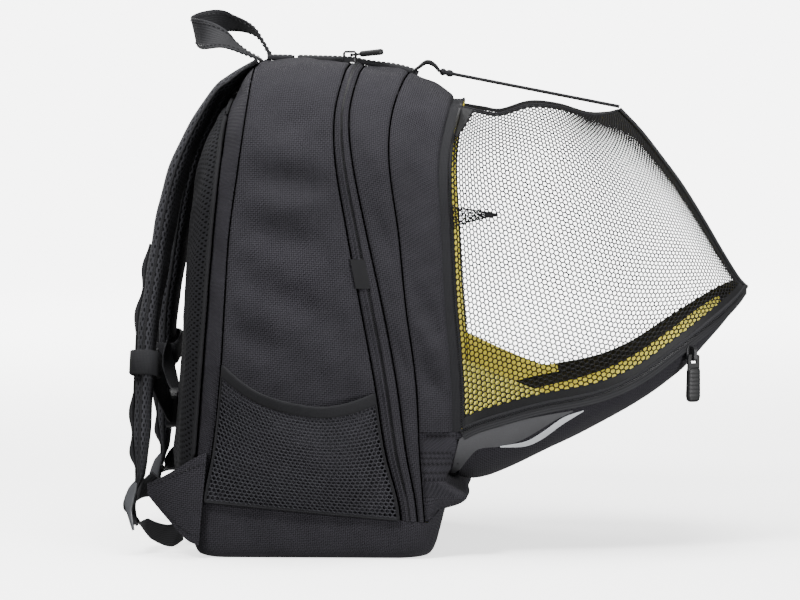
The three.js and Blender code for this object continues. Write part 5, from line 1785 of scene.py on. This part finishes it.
@dataclass
class Hardware:
    """The moulded and cast pieces that stay as the solids have them, with softened edges."""

    frame: dict
    main_eye: Point = (28.5, 0.0, 416.7)

    def build(self) -> None:
        """Dresses the buckle, tab, sliders and pullers."""
        plan = (
            (("sternum_buckle",), FINISH.plastic, 0.9),
            (("flap_puller", "main_puller"), FINISH.plastic, 0.5),
            (("flap_slider", "main_slider"), FINISH.metal, 0.4),
            (("zip_tab",), FINISH.webbing, 0.3),
        )
        for names, finish, edge in plan:
            for name in names:
                node = self.frame["nodes"][name]
                node.data.materials.clear()
                node.data.materials.append(finish.material())
                bevel = node.modifiers.new("soft_edge", "BEVEL")
                bevel.width = edge * MM
                bevel.segments = 3
                bevel.limit_method = "ANGLE"
                bevel.harden_normals = True
                LOG.info("%s: solid kept, %s", name, finish.name)
        self.build_grips()

    def build_grips(self) -> None:
        """Moulds a ribbed grip over the end of each puller that hangs."""
        share = np.linspace(-0.35, 1.02, 40)
        wide = np.interp(share, (-0.35, -0.25, 0.8, 0.96, 1.02), (9.0, 11.8, 12.6, 11.0, 7.0))
        thick = np.interp(share, (-0.35, -0.25, 0.9, 1.02), (3.4, 5.2, 5.4, 3.6)) + 0.2 * np.cos(share * 40)
        for name, hang in (("flap_puller", -UP), ("main_puller", FORWARD)):
            low, high = (np.array(v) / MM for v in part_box(name))
            points = np.array([v.co for v in self.frame["nodes"][name].data.vertices]) / MM
            points = points - points.mean(axis=0)
            along, across = np.linalg.svd(points, full_matrices=False)[2][:2]
            reach = np.abs(points @ along).max()
            along = along if along @ hang > 0 else -along
            path = (low + high) / 2 + along * share[:, None] * reach
            grip = Piece(f"{name}_grip").strap(path, across, wide, thick, 20, 0.5)
            if name == "main_puller":
                eye = np.array(self.main_eye) + ACROSS * np.linspace(-20.2, -14.6, 12)[:, None]
                size = np.interp(np.linspace(-1, 1, 12), (-1, -0.7, 0.7, 1), (2.2, 2.9, 2.9, 2.2))
                grip.strap(eye, FORWARD, size, size, 16, 1.0)
            grip.make(FINISH.plastic, "plastic", body=name)


@dataclass
class Studio:
    """A pale floor that sweeps up behind, soft lights and the camera."""

    azimuth: float = 2.0
    elevation: float = 4.0
    distance: float = 3.0
    target: Point = (0.06906, 0.0, 0.20645)
    lens: float = 156.96
    sensor: float = 36.0
    lit: Point = (0.07, 0.0, 0.2)
    lamps: tuple[tuple[str, Point, float, float], ...] = (
        ("key_light", (-0.75, -1.25, 1.6), 0.4, 66.0),
        ("overhead_light", (0.1, -0.4, 2.4), 1.6, 130.0),
        ("fill_light", (1.9, -1.9, 0.34), 0.5, 112.0),
        ("back_light", (-1.3, 1.8, 1.5), 1.2, 60.0),
    )

    def back(self) -> Vector:
        """The direction from the bag to the camera."""
        a, e = math.radians(self.azimuth), math.radians(self.elevation)
        return Vector((math.sin(a) * math.cos(e), -math.cos(a) * math.cos(e), math.sin(e)))

    def eye(self) -> Array:
        """The camera's place in millimetres."""
        return np.array(Vector(self.target) + self.back() * self.distance) / MM

    def build(self) -> None:
        """Makes the camera first, then the floor and the lights."""
        back = self.back()
        data = bpy.data.cameras.new("photo_camera")
        data.lens, data.sensor_width = self.lens, self.sensor
        camera = bpy.data.objects.new("photo_camera", data)
        camera.location = Vector(self.target) + back * self.distance
        camera.rotation_mode = "QUATERNION"
        camera.rotation_quaternion = (-back).to_track_quat("-Z", "Y")
        bpy.context.scene.collection.objects.link(camera)
        bpy.context.scene.camera = camera
        self.build_floor()
        for name, place, size, power in self.lamps:
            lamp = bpy.data.lights.new(name, "AREA")
            lamp.size, lamp.energy = size, power
            made = bpy.data.objects.new(name, lamp)
            made.location = place
            made.rotation_mode = "QUATERNION"
            made.rotation_quaternion = (Vector(self.lit) - Vector(place)).to_track_quat("-Z", "Y")
            bpy.context.scene.collection.objects.link(made)

    def build_floor(self) -> None:
        """Sweeps pale paper up behind the bag, brighter towards the back, and lights the room."""
        angle = np.linspace(0, math.pi / 2, 24)
        run = [(-14.0, 0.0), *((4.0 + 3 * math.sin(a), 3 - 3 * math.cos(a)) for a in angle), (7.0, 6.0)]
        points = [(x, y, z) for y, z in run for x in (-9.0, 9.0)]
        mesh = bpy.data.meshes.new("studio_sweep")
        mesh.from_pydata(points, [], [(2 * k, 2 * k + 1, 2 * k + 3, 2 * k + 2) for k in range(len(run) - 1)])
        mesh.shade_smooth()
        sweep = bpy.data.objects.new("studio_sweep", mesh)
        bpy.context.scene.collection.objects.link(sweep)
        made = bpy.data.materials.new("studio_paper_matt")
        made.use_nodes = True
        tree = made.node_tree
        shader = next(n for n in tree.nodes if n.type == "BSDF_PRINCIPLED")
        shader.inputs["Base Color"].default_value = to_linear("f6f6f5")
        shader.inputs["Roughness"].default_value = 0.9
        shader.inputs["Specular IOR Level"].default_value = 0.1
        shader.inputs["Emission Color"].default_value = to_linear("ffffff")
        place = add_node(tree, "ShaderNodeTexCoord").outputs["Object"]
        depth = add_node(tree, "ShaderNodeSeparateXYZ", None, {0: place}).outputs["Y"]
        glow = add_node(tree, "ShaderNodeMapRange", {"interpolation_type": "SMOOTHSTEP"}, {
            0: depth, 1: 0.3, 2: 3.0, 3: 1.8, 4: 6.0})
        tree.links.new(glow.outputs[0], shader.inputs["Emission Strength"])
        mesh.materials.append(made)
        sweep.visible_diffuse = False
        sweep.visible_glossy = False
        world = bpy.context.scene.world or bpy.data.worlds.new("studio_room")
        bpy.context.scene.world = world
        world.use_nodes = True
        tree = world.node_tree
        room = next(n for n in tree.nodes if n.type == "BACKGROUND")
        room.inputs["Color"].default_value = to_linear("ffffff")
        place = add_node(tree, "ShaderNodeTexCoord").outputs["Generated"]
        height = add_node(tree, "ShaderNodeSeparateXYZ", None, {0: place}).outputs["Z"]
        bounce = add_node(tree, "ShaderNodeMapRange", None, {0: height, 1: -0.7, 2: 0.1, 3: 1.0, 4: 0.3})
        tree.links.new(bounce.outputs[0], room.inputs["Strength"])


def main() -> None:
    """Builds the backpack piece by piece."""
    logging.basicConfig(level=logging.INFO, format="%(message)s")
    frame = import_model()
    studio = Studio()
    studio.build()
    form = BagForm()
    shelf = Shelf()
    assemblies = [TopGear(form), Body(form), BaseTray(form), BackPanel(form), Bay(form), shelf,
                  NetPouch(form, shelf, studio.eye()), *(Harness(side) for side in Side), SternumStrap(),
                  *(SidePocket(form, side) for side in Side), Hardware(frame)]
    for assembly in assemblies:
        LOG.info("building %s", type(assembly).__name__)
        assembly.build()


if __name__ == "__main__":
    main()
